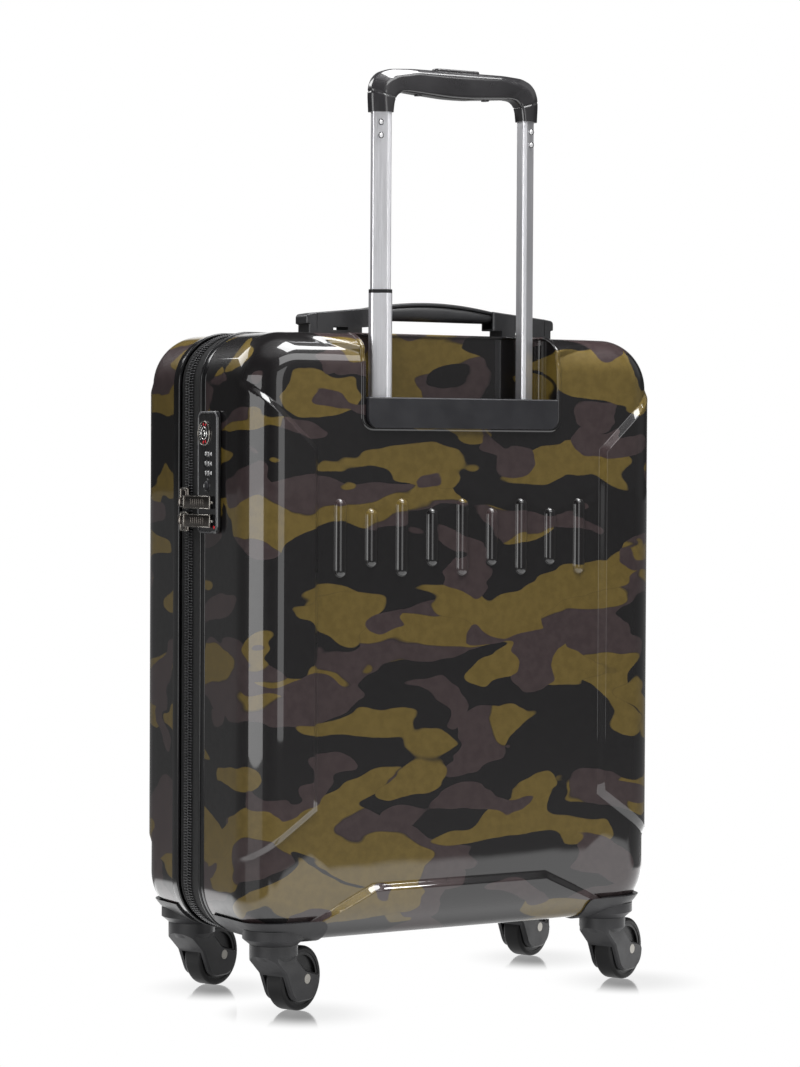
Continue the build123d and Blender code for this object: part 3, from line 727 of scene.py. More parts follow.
def recess_rim_path():
    """The recess's rim as points on the shell with its outward normals, from the top middle."""
    half = []
    edge = RECESS_HALF - RECESS_BACK_R
    for x in np.linspace(0, edge, 12)[:-1]:
        half.append(((x, RECESS_BACK, rear_high.z), (0, 0, 1)))
    for x, y in arc(edge, RECESS_BACK - RECESS_BACK_R, RECESS_BACK_R, 90, 0, 8):
        half.append(((x, y, float(top_height(y))), (0, 0, 1)))
    first = math.asin((-half[-1][0][1] - (DEPTH - EDGE_R)) / EDGE_R)
    for t in np.linspace(first, math.pi / 2, 12)[1:]:
        z = rear_high.z - EDGE_R * (1 - math.cos(t))
        lift = float(raised(np.array(RECESS_HALF), np.array(z)))
        y = -(DEPTH - STEP * (1 - lift) - EDGE_R + EDGE_R * math.sin(t))
        half.append(((RECESS_HALF, y, z), (0, -math.sin(t), math.cos(t))))
    for z in np.linspace(half[-1][0][2], RECESS_FLOOR + RECESS_CORNER, 14)[1:]:
        y = -float(surface_depth(np.array(RECESS_HALF), np.array(z), False))
        half.append(((RECESS_HALF, y, z), (0, -1, 0)))
    corner = (RECESS_HALF - RECESS_CORNER, RECESS_FLOOR + RECESS_CORNER)
    for x, z in arc(*corner, RECESS_CORNER, 0, -90, 8)[1:]:
        y = -float(surface_depth(np.array(x), np.array(z), False))
        half.append(((x, y, z), (0, -1, 0)))
    low_y = half[-1][0][1]
    for x in np.linspace(RECESS_HALF - RECESS_CORNER, 0, 12)[1:]:
        half.append(((x, low_y, RECESS_FLOOR), (0, -1, 0)))
    mirrored = [((-p[0], p[1], p[2]), n) for p, n in reversed(half[1:-1])]
    return half + mirrored


def bead(path, across, proud, sink, steps=10):
    """A half-round bead along a closed path of (point, normal)."""
    verts = []
    count = len(path)
    for i, (p, n) in enumerate(path):
        before, after = Vector(path[i - 1][0]), Vector(path[(i + 1) % count][0])
        along = (after - before).normalized()
        normal = Vector(n)
        normal = (normal - along * normal.dot(along)).normalized()
        aside = along.cross(normal)
        for k in range(steps):
            a = 2 * math.pi * k / steps
            up = math.sin(a) * (proud if math.sin(a) > 0 else sink)
            verts.append(Vector(p) + aside * (across * math.cos(a)) + normal * up)
    return verts, grid_faces(count, steps, close_rows=True, close_columns=True)


def recess_walls():
    """The pocket behind the rim: two sides, the back with its round corners, and the floor."""
    rim = recess_rim_path()
    right = [Vector(p) for p, _ in rim if abs(p[0] - RECESS_HALF) < 1e-6]
    back_y = RECESS_BACK - RECESS_BACK_R
    verts, faces = [], []
    for mirror in (1, -1):
        start = len(verts)
        steps = 8
        for p in right:
            for k in range(steps + 1):
                w = k / steps
                verts.append(Vector((mirror * p.x, p.y * (1 - w) + back_y * w, p.z)))
        faces += [tuple(i + start for i in f) for f in grid_faces(len(right), steps + 1)]
    corner = arc(RECESS_HALF - RECESS_BACK_R, back_y, RECESS_BACK_R, 0, 90, 8)
    section = corner + [(-x, y) for x, y in reversed(corner)]
    start = len(verts)
    heights = np.linspace(RECESS_FLOOR, rear_high.z - 0.3 * MM, 20)
    verts += [Vector((x, y, z)) for z in heights for x, y in section]
    faces += [tuple(i + start for i in f) for f in grid_faces(len(heights), len(section))]
    for mirror in (1, -1):
        start = len(verts)
        verts.append(Vector((mirror * RECESS_HALF, RECESS_BACK, rear_high.z - 0.7 * MM)))
        verts += [Vector((mirror * x, y, top_height(y) - 0.7 * MM)) for x, y in corner]
        faces += [(start, start + k + 1, start + k + 2) for k in range(8)]
    start = len(verts)
    front = -DEPTH + STEP + 1 * MM
    floor = [(RECESS_HALF, front), *section, (-RECESS_HALF, front)]
    verts += [Vector((x, y, RECESS_FLOOR)) for x, y in floor]
    faces.append(tuple(range(start, len(verts))))
    return verts, faces


def recess():
    """The handle recess: a bead round its edge and the walls behind it."""
    rim = bead(recess_rim_path(), 2.3 * MM, 1.1 * MM, 1.6 * MM)
    join("recess_rim", [rim], SHELL, "case", "camo_shell")
    walls = outward(build("recess_walls", *recess_walls(), SHELL, "case", "camo_shell"), 0.2 * MM)
    crease(walls, 40)
    thicken(walls, 1.4 * MM, 0)


# ---- seam: trims, tapes and zip ----


def trims():
    """The two black hoops that hold the shells' edges, each with a raised outer bead."""
    seam_side, far_side = box_mm("rear_edge_trim")[1].y, box_mm("front_edge_trim")[0].y
    bead_wide = 2.4
    for name, body, low, high, bead_low in (
        ("rear", "case", REAR_SEAM / MM, seam_side, seam_side - bead_wide),
        ("front", "lid", far_side, FRONT_SEAM / MM, far_side),
    ):
        base = rounded_profile(-4, 0.5, low, high, 1.0)
        ridge = rounded_profile(-2, 1.6, bead_low, bead_low + bead_wide, 1.1, 6)
        join(f"{name}_trim", [hoop(base), hoop(ridge)], TRIM, body, "black_trim",
             replaces=f"{name}_edge_trim")


def tapes():
    """The woven tapes, each with a stitched line along its trim side."""
    for name, body, away in (("rear", "case", -1), ("front", "lid", 1)):
        low, high, _ = box_mm(f"{name}_zip_tape")
        band = rounded_profile(-2.7, -1.5, low.y, high.y, 0.4, 3)
        line = (low.y if away < 0 else high.y) - away * 3.2
        seam = rounded_profile(-1.7, -1.0, line - 0.5, line + 0.5, 0.45)
        join(f"{name}_tape", [hoop(band), hoop(seam)], TAPE, body, "zip_tape",
             replaces=f"{name}_zip_tape")


def tooth(length):
    """One nylon tooth along +X with swollen ends, as (verts, faces)."""
    stations = [(0, 0.1), (0.04, 0.75), (0.12, 1.0), (0.3, 0.72), (0.7, 0.72), (0.88, 1.05),
                (0.96, 0.8), (1.0, 0.1)]
    verts, faces = tube([
        [(along * length, 0.62 * MM * swell * a, 0.95 * MM * swell * b)
         for a, b in arc(0, 0, 1, 0, 300, 5)]
        for along, swell in stations
    ])
    return np.array(verts), faces


def dense_outline(pitch, start, stop):
    """Evenly spaced points with normals along the outline, between two shares of its length."""
    path = outline_path(arc_steps=48, straight=0.004)
    path = np.vstack([path, path[:1]])
    step = np.hypot(*(np.diff(path[:, :2], axis=0)).T)
    length = np.concatenate([[0], np.cumsum(step)])
    at = np.arange(start * length[-1], stop * length[-1], pitch)
    out = np.stack([np.interp(at, length, path[:, k]) for k in range(4)], -1)
    out[:, 2:] /= np.linalg.norm(out[:, 2:], axis=1)[:, None]
    return out


ZIP_START, ZIP_STOP = 0.145, 0.855  # shares of the outline's length
OUTLINE_LENGTH = 1.7  # metres, roughly


def zip_teeth():
    """Two rows of interlocking teeth on three sides of the case."""
    pitch = 2.3 * MM
    inset, overlap, sunk = 1.0 * MM, 1.3 * MM, 0.6 * MM
    for name, body, shift in (("rear", "case", 0.0), ("front", "lid", 0.5)):
        low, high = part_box(f"{name}_zip_teeth")
        length = high.y - low.y - inset + overlap
        y_from, sign = (low.y + inset, 1) if name == "rear" else (high.y - inset, -1)
        shape, faces_one = tooth(length)
        verts, faces = [], []
        start = ZIP_START + shift * pitch / OUTLINE_LENGTH
        for x, z, nx, nz in dense_outline(pitch, start, ZIP_STOP):
            faces.extend(tuple(j + len(verts) * len(shape) for j in f) for f in faces_one)
            lift = shape[:, 2] - sunk
            vx = x + nx * lift - nz * shape[:, 1]
            vz = z + nz * lift + nx * shape[:, 1]
            verts.append(np.stack([vx, y_from + sign * shape[:, 0], vz], -1))
        row = build(f"{name}_teeth", np.concatenate(verts), faces, TEETH, body, "zip_teeth")
        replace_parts(outward(row), f"{name}_zip_teeth")


# ---- telescopic handle ----


def grip_curves(count=110):
    """Matching points along the grip's outside and inside, in X and Z millimetres, from a foot."""
    low, high, _ = box_mm("grip")
    foot, top = low.z, high.z
    outer = [(-80.5, foot), (-81.2, 744), (-80.9, 751.5), (-78.2, 758.6), (-72.6, 763.9),
             (-64, 766.6), (-45, top), (0, top)]
    inner = [(-62.3, foot), (-61.4, 739), (-59.6, 744.2), (-55.4, 747.4), (-49, 748.0),
             (-30, 746.6), (-12, 745.3), (0, 745.1)]

    def smooth(points):
        p = np.array(points, float)
        t = np.concatenate([[0], np.cumsum(np.hypot(*np.diff(p, axis=0).T))])
        s = np.linspace(0, t[-1], count)
        fine = np.stack([np.interp(s, t, p[:, k]) for k in range(2)], -1)
        for _ in range(12):
            fine[1:-1] = (fine[:-2] + 2 * fine[1:-1] + fine[2:]) / 4
            fine[-1, 1] = fine[-2, 1]
        return fine

    flip = np.array([-1, 1])
    return [np.vstack([half, (half * flip)[::-1][1:]]) for half in (smooth(outer), smooth(inner))]


def grip():
    """The handle's grip: its outer rear corner is cut off like the tubes', with a parting groove."""
    low, high, middle = box_mm("grip")
    rings = []
    for o, i in zip(*grip_curves()):
        bar = min(1.0, max(0.0, (70 - abs(o[0])) / 28))
        width = float(np.hypot(*(i - o)))
        half = (high.y - low.y) / 2 + 0.9 * math.sin(bar * math.pi / 2)
        cut_in, cut_back = 9.6 - 5.6 * bar, 6.4 - 3.0 * bar
        section = soft_polygon([
            (0, -half + cut_back, 1.8), (cut_in, -half, 2.6), (width, -half, 3.8),
            (width, half, 3.8), (0, half, 3.4),
        ], 6)
        groove = 0.6 if abs((o[1] + i[1]) / 2 - 745.2) < 0.45 else 0.0
        ring = []
        for p, q in section:
            x, z = o + (i - o) / width * (groove + p * (1 - 2 * groove / width))
            ring.append(Vector((x, middle.y + q * (1 - groove / half), z)) * MM)
        rings.append(ring)
    parts = [tube(rings)]
    for x, foot in ((-36, 746.0), (29, 745.5)):
        parts.append(soft_box((x - 2.2, middle.y - 3, foot), (x + 2.2, middle.y + 3, 749), 0.4, 2))
    join("grip_body", parts, GLOSS_BLACK, "handle", "grip_plastic", 50, "grip")


def rivets():
    """Low domes, each with a thin dark ring round its foot, two through each inner tube just under the
    grip.
    """
    low, high, _ = box_mm("grip_rivets")
    radius = 2.1
    dome = [(0.2, 0.15), (1.2, 0.12), (1.8, 0.05), (2.05, -0.3)]
    # A dark ring, nearly flush with the tube, round the foot of each dome.
    dark_ring = [(2.05, -0.3), (2.05, 0.03), (2.5, 0.03), (2.5, -0.3)]
    domes, dark_rings = [], []
    for x in (low.x + radius, high.x - radius):
        for z in (low.z + radius, high.z - radius):
            spot = Matrix.Translation(Vector((x, low.y, z)) * MM)
            place = spot @ Matrix.Rotation(math.pi / 2, 4, "X")
            domes.append(lathe(dome, 24, place))
            dark_rings.append(ring_of(place, dark_ring, 32))
    join("rivet_heads", domes, RIVET, "handle", "bright_steel", replaces="grip_rivets")
    join("rivet_dark_rings", dark_rings, HUB, "handle", "collar_plastic")


# ---- carry handle ----


def superellipse(count, power):
    """Points round a squarish oval of half-width 1."""
    t = np.linspace(0, 2 * math.pi, count, endpoint=False)
    c, s = np.cos(t), np.sin(t)
    return np.stack([np.sign(w) * np.abs(w) ** (2 / power) for w in (c, s)], -1)


def carry_grip():
    """The arched carry handle: a flat strap over a rounded grip."""
    low, high, middle = box_mm("carry_handle")
    y, ends_z = middle.y, 567.3
    grip_half = 66

    def arch(x):
        return ends_z + (high.z - ends_z) * max(0.0, 1 - (x / 96) ** 2) ** 1.25

    strap, pad = [], []
    for x in np.linspace(-high.x, high.x, 90):
        strap.append([Vector((x, y + 7.0 * v, arch(x) - 1.6 + 1.6 * u)) * MM
                      for u, v in superellipse(28, 4.5)])
    for x in np.linspace(-grip_half, grip_half, 70):
        top = arch(x) - 1.8
        swell = 0.55 + 0.45 * math.sin(min(1.0, (grip_half - abs(x)) / 9) * math.pi / 2)
        tall = (7.4 + 6.8 * (1 - (x / grip_half) ** 2)) * swell
        pad.append([Vector((x, y + 6.8 * swell * v, top + tall * (u - 1) / 2)) * MM
                    for u, v in superellipse(28, 2.6)])
    parts = [tube(strap), tube(pad)]
    for x in (-115.5, 99.5):
        parts.append(soft_box((x, y - 6.5, low.z), (x + 16, y + 6.5, 566), 0.8))
    join("carry_grip_body", parts, SOFT_BLACK, "carry_grip", "carry_plastic", 45, "carry_handle")


# ---- lock and pulls ----


def facing_out(x, y, z):
    """A place in millimetres whose local Z points away from the lock side."""
    return Matrix.Translation(Vector((x, y, z)) * MM) @ Matrix.Rotation(-math.pi / 2, 4, "Y")


def disc_marks(place, radius, degrees, long, wide, thick):
    """Small blocks standing round a dial at given angles, each pointing away from its middle."""
    low, high = (radius - long / 2, -wide / 2, -thick), (radius + long / 2, wide / 2, thick)
    block = soft_box(low, high, min(wide, thick) * 0.3, 2)
    turns = [Matrix.Rotation(math.radians(angle), 4, "Z") for angle in degrees]
    return [put(place @ turn, block) for turn in turns]


def digits(number):
    """The numbers 0 to 9 standing round one dial."""
    dial_low, dial_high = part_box(f"lock_dial_{number}")
    middle, radius = (dial_low + dial_high) / 2, (dial_high.x - dial_low.x) / 2
    upright = Matrix(((0, 0, 1, 0), (1, 0, 0, 0), (0, 1, 0, 0), (0, 0, 0, 1)))
    parts = []
    for k in range(10):
        curve = bpy.data.curves.new("glyph", "FONT")
        curve.body, curve.size, curve.extrude = str(k), 4.6 * MM, 0.12 * MM
        curve.align_x = curve.align_y = "CENTER"
        text = bpy.data.objects.new("glyph", curve)
        mesh = bpy.data.meshes.new_from_object(text)
        turned = Matrix.Rotation(math.radians(36 * k + 180), 4, "Z") @ Matrix.Translation((radius, 0, 0))
        place = Matrix.Translation(middle) @ turned @ upright
        glyph = [v.co.copy() for v in mesh.vertices], [tuple(f.vertices) for f in mesh.polygons]
        parts.append(put(place, glyph))
        bpy.data.objects.remove(text)
        bpy.data.meshes.remove(mesh)
        bpy.data.curves.remove(curve)
    join(f"dial_digits_{number}", parts, WHITE_INK, f"dial_{number}", "dial_plastic")


def lock_border():
    """The raised edge of the lock's plate."""
    low, high, _ = box_mm("lock_body")
    inset, radius = 1.1, 5
    y0, z0 = low.y + inset + radius, low.z + inset + radius
    y1, z1 = high.y - inset - radius, high.z - inset - radius
    path = []
    for cy, cz, turn in ((y1, z1, 0), (y0, z1, 90), (y0, z0, 180), (y1, z0, 270)):
        for y, z in arc(cy, cz, radius, turn, turn + 90, 8):
            path.append((Vector((low.x, y, z)) * MM, (-1, 0, 0)))
    border = bead(path, 0.9 * MM, 0.7 * MM, 0.3 * MM)
    join("lock_border", [border], LOCK_EDGE, "case", "lock_plastic")


def key_dial():
    """Bright bezel, printed ticks, and the plug with a black bar as painted shade for its keyway."""
    low, _, middle = box_mm("key_cylinder")
    place = facing_out(low.x, middle.y, middle.z)
    bezel = [(10.2, -0.5), (10.2, 0.4), (9.9, 0.75), (9.6, 0.75), (9.4, 0.5), (9.4, -0.5)]
    well = [(5.2, -0.3), (5.2, 0.3), (5.0, 0.5), (4.8, 0.5), (4.6, 0.2), (4.6, -0.3)]
    plug = [(0.4, 0.8), (1.7, 0.7), (2.3, 0.4), (2.5, -0.2)]
    ticks = disc_marks(place, 7.7, range(38, 143, 15), 1.3, 0.5, 0.15)
    red_marks = disc_marks(place, 7.4, (-22, 8, 172, 202), 2.2, 1.5, 0.2)
    face = [ring_of(place, well), lathe(plug, 28, place)]
    # Painted shade: a black bar on the plug's face stands for the shaded slot of the keyway.
    keyway = put(place, soft_box((-2.0, -0.4, 0.4), (2.0, 0.4, 0.95), 0.1, 2))
    join("key_bezel", [ring_of(place, bezel)], BRIGHT_NICKEL, "case", "key_metal")
    join("key_ticks", ticks, WHITE_INK, "key_plug", "key_metal")
    join("key_red_marks", red_marks, RED_INK, "key_plug", "key_metal")
    join("key_plug_face", face, CHROME, "key_plug", "key_metal")
    join("keyway", [keyway], LOCK_BLACK, "key_plug", "key_metal")


def index_marks():
    """Two white marks beside each dial."""
    face = box_mm("lock_body")[0].x
    marks = []
    for number in (1, 2, 3):
        z = box_mm(f"lock_dial_{number}")[2].z
        for y, half in ((-36.2, 0.5), (-37.6, 1.5)):
            low, high = (face - 0.12, y - 0.7, z - half), (face + 0.1, y + 0.7, z + half)
            marks.append(soft_box(low, high, 0.05, 2))
    join("lock_index_marks", marks, WHITE_INK, "case", "lock_plastic")


def lock_button():
    """The release button in its collar, and the red dot below."""
    face, middle = box_mm("lock_body")[0].x, box_mm("lock_button")[2]
    place = facing_out(face, middle.y, middle.z)
    collar = [(5.9, -0.3), (5.9, 0.25), (5.6, 0.45), (4.3, 0.45), (4.1, 0.2), (4.1, -0.3)]
    knob = [(0.3, 1.45), (2.6, 1.35), (3.4, 1.0), (3.7, 0.5), (3.7, -2.6)]
    on_top = place @ Matrix.Translation((0, 0, 1.25 * MM))
    mark = disc_marks(on_top, 2.4, (70, 90, 110), 0.9, 0.9, 0.25)
    dot = lathe([(0.2, 0.4), (1.1, 0.3), (1.5, 0)], 16, facing_out(face, -42.5, 393))
    join("button_collar", [ring_of(place, collar)], LOCK_BLACK, "case", "lock_plastic")
    join("button_knob", [lathe(knob, 32, place)], HOUSING, "lock_release", "lock_plastic",
         replaces="lock_button")
    join("button_mark", mark, WHITE_INK, "lock_release", "lock_plastic")
    join("lock_red_dot", [dot], RED_INK, "case", "lock_plastic")


def pulls():
    """The zip pulls: an eye, a neck and a plate with a raised frame round a sunken panel."""
    for which in ("upper", "lower"):
        middle = box_mm(f"zip_pull_{which}")[2]
        x0, x1, z = middle.x - 0.9, middle.x + 0.9, middle.z
        foot, top = z - 5.4, z + 5.4
        parts = [
            soft_box((x0, -41, foot), (x1, 6, top), 0.7, 4),
            soft_box((x0 + 0.1, 4, z - 2), (x1 - 0.1, 11, z + 2), 0.6),
        ]
        for y in (-30 + 3.6 * k for k in range(7)):
            parts.append(soft_box((x0 - 0.3, y - 0.7, z - 2.6), (x0 + 0.3, y + 0.7, z + 2.6), 0.25, 2))
        eye = [(1.75, -1.9), (1.95, 0), (1.75, 1.9), (0.9, 1.9), (0.9, -1.9)]
        parts.append(ring_of(Matrix.Translation(Vector((middle.x, 12, z)) * MM), eye, 20))
        rim = [soft_box((x0 + 0.2, -45.4, z - 1), (x1 - 0.2, -41, z + 1), 0.3, 2)]
        for edge in (top - 0.8, foot + 0.1):
            rim.append(soft_box((x0 - 0.3, -40, edge), (x0 + 0.3, 4, edge + 0.7), 0.25, 2))
        for y, wide in ((-42.6, 2.2), (3.4, 1.2)):
            rim.append(soft_box((x0 - 0.5, y, foot + 0.3), (x0 + 0.4, y + wide, top - 0.3), 0.35, 2))
        body = f"{which}_pull"
        join(f"{which}_pull_plate", parts, NICKEL, body, "pull_metal", 50, f"zip_pull_{which}")
        join(f"{which}_pull_rim", rim, BRIGHT_NICKEL, body, "pull_metal", 50)


def slider_bodies():
    """The zip sliders: a humped body with a bright frame, two ears and the pull's pin."""
    for which, below, above in (("upper", 4.4, 11.4), ("lower", 9.0, 6.6)):
        low, high, middle = box_mm(f"zip_slider_{which}")
        x, z = high.x, middle.z
        z0, z1 = z - below, z + above
        parts = [
            soft_box((x - 2.4, 3.6, z0), (x, 17.6, z1), 1.1, 4),
            soft_box((x - 3.0, 6.0, z0 + 1.6), (x - 1, 14.6, z1 - 1.6), 0.9, 4),
        ]
        for ear in (z - 3.4, z + 2.25):
            parts.append(soft_box((low.x, 9.8, ear), (x - 2.4, 14.2, ear + 1.15), 0.5))
        pin = Matrix.Translation(Vector((low.x + 1.4, 12, z)) * MM)
        parts.append(lathe([(0.78, -3.0), (0.78, 3.0)], 16, pin))
        rim = [soft_box((x - 2.9, 16.2, z0 + 0.6), (x - 1.6, 17.8, z1 - 0.6), 0.5)]
        for edge in (z0 - 0.1, z1 - 1.3):
            rim.append(soft_box((x - 2.9, 5.0, edge), (x - 1.6, 17.4, edge + 1.4), 0.5))
        body = f"{which}_slider"
        join(f"{which}_slider_body", parts, NICKEL, body, "pull_metal", 50, f"zip_slider_{which}")
        join(f"{which}_slider_frame", rim, BRIGHT_NICKEL, body, "pull_metal", 50)


# ---- linings ----


def rounded_grid(half_w, half_h, radius, spacing):
    """A grid of points over a rounded rectangle, as two arrays."""
    columns = int(2 * half_w / spacing) + 1
    rows = int(2 * half_h / spacing) + 1
    x, z = np.meshgrid(np.linspace(-half_w, half_w, columns), np.linspace(-half_h, half_h, rows))
    u = np.clip((np.abs(x) - (half_w - radius)) / radius, 0, 1)
    v = np.clip((np.abs(z) - (half_h - radius)) / radius, 0, 1)
    both = (u > 0) & (v > 0)
    round_x = half_w - radius + radius * u * np.sqrt(1 - v * v / 2)
    round_z = half_h - radius + radius * v * np.sqrt(1 - u * u / 2)
    return (
        np.where(both, np.sign(x) * round_x, x),
        np.where(both, np.sign(z) * round_z, z) + MID_Z,
    )


def slack(x, z, height, seed):
    """Soft unevenness of a loose cloth, up to a height."""
    rng = np.random.default_rng(seed)
    wave = np.zeros(x.shape)
    for _ in range(26):
        angle, size = rng.uniform(0, math.pi), rng.uniform(0.03, 0.11)
        phase = rng.uniform(0, 2 * math.pi)
        wave += np.sin((x * math.cos(angle) + z * math.sin(angle)) / size * 2 * math.pi + phase) * size
    return wave * height / np.abs(wave).max()


LINING_HEM = 8.5 * MM  # carries the cloth up to the trim's lip


def lining(name, side, node, body):
    """A cloth tub inside one half, slightly slack, its rippled upper edge carried up to the trim's lip.
    """
    low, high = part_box(node)
    half_w, half_h = high.x, (high.z - low.z) / 2
    radius = CORNER_R - 6 * MM
    gx, gz = rounded_grid(half_w - 14 * MM, half_h - 14 * MM, radius - 12 * MM, 5 * MM)
    wave = slack(gx, gz, 0.6 * MM, seed=7 if side < 0 else 11)
    floor_y = (low.y + 1.2 * MM) if side < 0 else (high.y - 1.2 * MM)
    rows, columns = gx.shape
    gy = floor_y - side * (0.6 * MM + wave)
    if side < 0:
        step = in_recess(gx, gz, -9 * MM)
        gy = np.where(step, RECESS_BACK + 4.2 * MM, gy)
    verts = np.stack([gx, gy, gz], -1).reshape(-1, 3)
    faces = grid_faces(rows, columns)
    border = np.concatenate([
        np.arange(columns), np.arange(2, rows) * columns - 1,
        np.arange(rows * columns - 1, (rows - 1) * columns, -1),
        np.arange(rows - 1, 0, -1) * columns,
    ])
    edge_y = high.y + LINING_HEM if side < 0 else low.y - LINING_HEM
    b = verts[border]
    n = corner_normals(b[:, 0], b[:, 2], half_w, half_h, radius)
    ripple = np.arange(len(border)) * 0.35
    rings = []
    for k in range(1, 15):
        t = min(1.0, k / 6)
        out = 13.4 * MM * math.sin(t * math.pi / 2)
        drop = 0.0 if k <= 6 else (k - 6) / 8
        y_here = b[:, 1] + side * -1 * 10 * MM * (1 - math.cos(t * math.pi / 2))
        y_here = y_here * (1 - drop) + edge_y * drop
        reach = out + 0.35 * MM * np.sin(ripple + k * 0.6) * (1 - drop)
        rings.append(np.stack([b[:, 0] + n[:, 0] * reach, y_here, b[:, 2] + n[:, 1] * reach], -1))
    faces += wall_faces(border, len(verts), len(rings)).tolist()
    piece = build(name, np.concatenate([verts, *rings]), faces, LINING, body, "lining")
    face_outward(piece, side)
    thicken(piece, 0.7 * MM, -1)
    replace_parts(piece, node)


# ---- CAD nodes that stay ----


def paint(names, material):
    """Gives CAD nodes that stay visible a procedural material."""
    for name in names:
        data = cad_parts[name].data
        data.materials.clear()
        data.materials.append(material)


def paint_frame():
    """The materials of every CAD node that stays visible."""
    for part, material in (("corner_shoe", CASTER), ("caster_fork", CASTER), ("wheel_hub", HUB),
                           ("tyre", TYRE), ("wheel_axle", AXLE)):
        paint([f"{corner}_{part}" for corner in CORNERS], material)
    paint(["carry_handle_pins"], CHROME)
    paint(["trolley_housing", "trolley_foot"], HOUSING)
    tubes = [f"{stage}_tube_{s}" for stage in ("inner", "middle") for s in ("left", "right")]
    paint(["outer_tubes"] + tubes, ALUMINIUM)
    paint(["middle_collar_left", "middle_collar_right"], HUB)
    paint(["grip_button"], GLOSS_BLACK)
    paint(["carry_handle_bases"], SOFT_BLACK)
    paint(["hinge_leaves_rear", "hinge_leaves_front"], HINGE_BLACK)
    paint(["hinge_pins", "release_rods", "lock_dial_spindle"], STEEL)
    paint(["lock_body", "key_cylinder", "lock_dial_1", "lock_dial_2", "lock_dial_3"], LOCK_BLACK)


# ---- stage ----


def floor():
    """A seamless white floor, with a soft mirror close to each wheel."""
    bpy.ops.mesh.primitive_plane_add(size=60, location=(0, 0, -0.0004))
    sheet = bpy.context.active_object
    sheet.name = "floor"
    material = bpy.data.materials.new("floor_white")
    material.use_nodes = True
    n = Nodes(material.node_tree)
    n.tree.nodes.clear()
    place = n.add("ShaderNodeNewGeometry").outputs["Position"]
    nearest = 10.0
    for corner in CORNERS:
        low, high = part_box(f"{corner}_tyre")
        foot = ((low.x + high.x) / 2, (low.y + high.y) / 2 - 0.018, 0)
        nearest = n.math("MINIMUM", nearest, n.vector("DISTANCE", place, foot, "Value"))
    mirror = n.span(nearest, 0.015, 0.075, 0.72, 0.0)
    gloss = n.add("ShaderNodeBsdfGlossy")
    gloss.inputs["Roughness"].default_value = 0.10
    seen = n.made("ShaderNodeMixShader", mirror, n.made("ShaderNodeEmission"), gloss.outputs[0])

    # Light that the floor throws at the case: bright in front of it, weaker beside and under it
    split = n.add("ShaderNodeSeparateXYZ")
    n.feed(split.inputs[0], place)
    across, away = split.outputs["X"], split.outputs["Y"]
    bright = 1.0
    for value, *step in (
        (across, -0.50, -0.33, 0.0, 2.0), (away, -0.93, -0.86, 0.0, 1.0),
        (across, 0.75, 0.95, 1.0, 0.0), (away, 0.35, 0.5, 1.0, 0.0),
    ):
        bright = n.math("MULTIPLY", bright, n.span(value, *step))
    heading = n.vector("NORMALIZE", n.vector("SUBTRACT", place, (-0.187, -0.09, 0)))
    spill = n.span(n.dot(heading, (-0.931, -0.366, 0)), 0.910, 0.922, 0.0, 0.8)
    clear_x = n.span(n.math("ABSOLUTE", across), 0.16, 0.27, 0.3, 1.0)
    clear_y = n.span(n.math("ABSOLUTE", away), 0.06, 0.15, 0.3, 1.0)
    strength = n.math("MAXIMUM", bright, n.math("MAXIMUM", spill, 0.2))
    strength = n.math("MULTIPLY", strength, n.math("MAXIMUM", clear_x, clear_y))
    bounce = n.made("ShaderNodeEmission", (1, 1, 1), strength)
    camera_ray = n.add("ShaderNodeLightPath").outputs["Is Camera Ray"]
    n.made("ShaderNodeOutputMaterial", n.made("ShaderNodeMixShader", camera_ray, bounce, seen))
    sheet.data.materials.append(material)


def studio_room():
    """White behind the case, dim elsewhere, and plain white where the camera looks past it."""
    world = bpy.data.worlds.new("studio")
    bpy.context.scene.world = world
    world.use_nodes = True
    n = Nodes(world.node_tree)
    way = n.add("ShaderNodeTexCoord").outputs["Generated"]
    strength = n.add("ShaderNodeLightPath").outputs["Is Camera Ray"]
    for direction, *step in (
        ((0.515, 0.857, 0), 0.92, 0.97, 0.0, 1.0), ((0.60, -0.80, 0), 0.4, 0.9, 0.04, 0.25),
        ((0.90, 0.02, 0.436), 0.93, 0.985, 0.0, 0.3), ((0, -0.25, 0.968), 0.80, 0.95, 0.0, 0.6),
    ):
        strength = n.math("MAXIMUM", strength, n.span(n.dot(way, direction), *step))
    background = n.tree.nodes["Background"]
    n.feed(background.inputs["Strength"], strength)
    n.feed(background.inputs["Color"], (1, 1, 1))


def softbox(name, place, aim, width, height, radiance):
    """A rectangular studio light aimed at a point, set by how bright its face looks."""
    light = bpy.data.lights.new(name, "AREA")
    light.shape = "RECTANGLE"
    light.size, light.size_y = width, height
    light.energy = radiance * math.pi * width * height
    lamp = bpy.data.objects.new(name, light)
    bpy.context.scene.collection.objects.link(lamp)
    lamp.location = place
    lamp.rotation_euler = (Vector(aim) - Vector(place)).to_track_quat("-Z", "Y").to_euler()
    return lamp


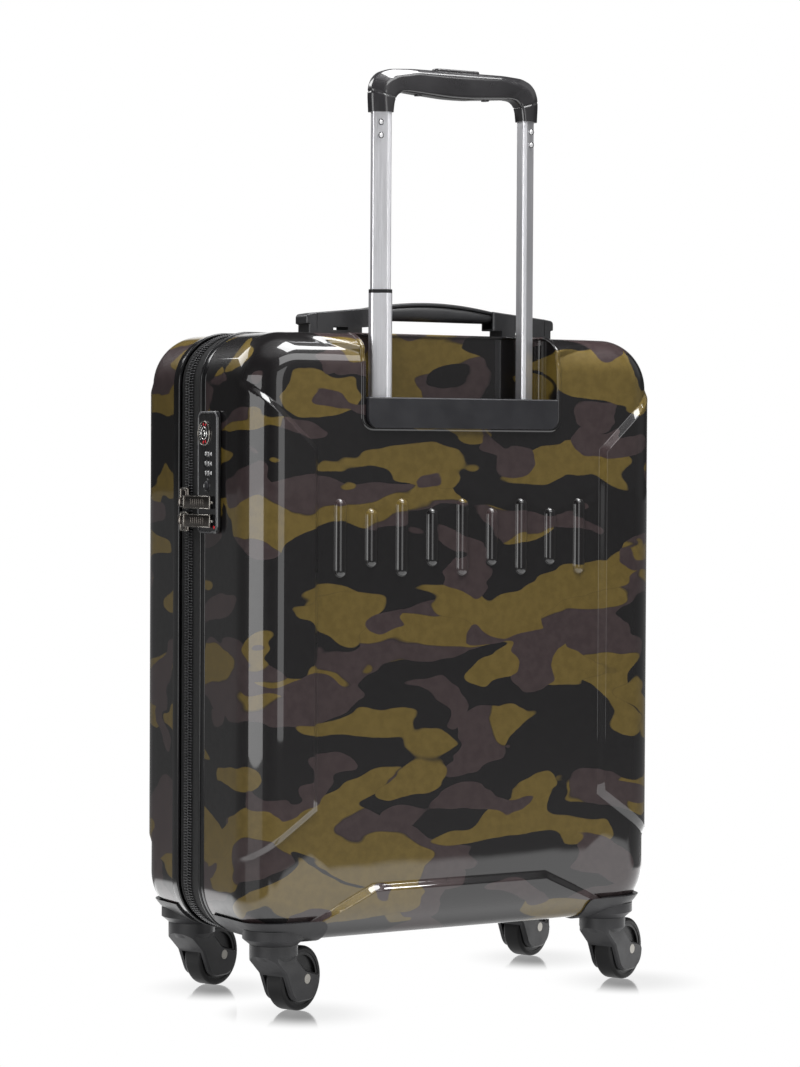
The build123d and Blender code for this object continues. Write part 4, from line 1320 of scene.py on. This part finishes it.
def lights():
    """Broad panels that light the case, and smaller ones seen only in its gloss."""
    softbox("left_panel", (-2.07, -0.83, 0.55), (-0.187, -0.09, 0.55), 1.76, 1.1, 3.3)
    softbox("camera_right_panel", (0.24, -2.53, 0.6), (-0.187, -0.09, 0.6), 0.85, 1.2, 2.0)
    overhead = softbox("overhead", (-0.15, -0.45, 2.2), (-0.05, -0.1, 0.4), 2.0, 2.0, 16.0)
    overhead.visible_glossy = False
    for name, place, width, height, radiance in (
        ("grip_lamp", (0.45, -0.75, 2.45), 1.0, 1.0, 18.0),
        ("edge_lamp", (1.30, -0.89, 2.26), 0.10, 0.10, 40.0),
        ("high_rear_panel", (0.45, -1.75, 1.75), 1.3, 0.7, 4.5),
        ("high_left_panel", (-1.15, 1.45, 1.75), 1.3, 0.7, 5.5),
    ):
        glint = softbox(name, place, (-0.1, -0.1, 0.7), width, height, radiance)
        glint.visible_diffuse = False


def camera():
    """A long lens low behind the case's left rear corner, looking slightly down."""
    place = Matrix.Translation((-1.3884, -2.3060, 0.4530))
    azimuth, pitch, roll = math.radians(-31.04), math.radians(1.438), math.radians(-0.3)
    data = bpy.data.cameras.new("camera")
    data.sensor_width, data.lens = 36, 106.8
    eye = bpy.data.objects.new("camera", data)
    bpy.context.scene.collection.objects.link(eye)
    forward = Vector((-math.sin(azimuth), math.cos(azimuth), -math.tan(pitch)))
    turned = forward.to_track_quat("-Z", "Y").to_matrix().to_4x4()
    eye.matrix_world = place @ turned @ Matrix.Rotation(-roll, 4, "Z")
    bpy.context.scene.camera = eye


paint_frame()
shell("rear_shell_body", -1, REAR_SEAM, "rear_shell")
shell("front_shell_body", 1, FRONT_SEAM, "front_shell")
recess()
trims()
tapes()
zip_teeth()
grip()
rivets()
carry_grip()
lock_border()
key_dial()
for dial in (1, 2, 3):
    digits(dial)
index_marks()
lock_button()
pulls()
slider_bodies()
lining("rear_lining_cloth", -1, "rear_lining", "case")
lining("front_lining_cloth", 1, "front_lining", "lid")
floor()
studio_room()
lights()
camera()
bpy.context.scene.view_settings.view_transform = "Standard"
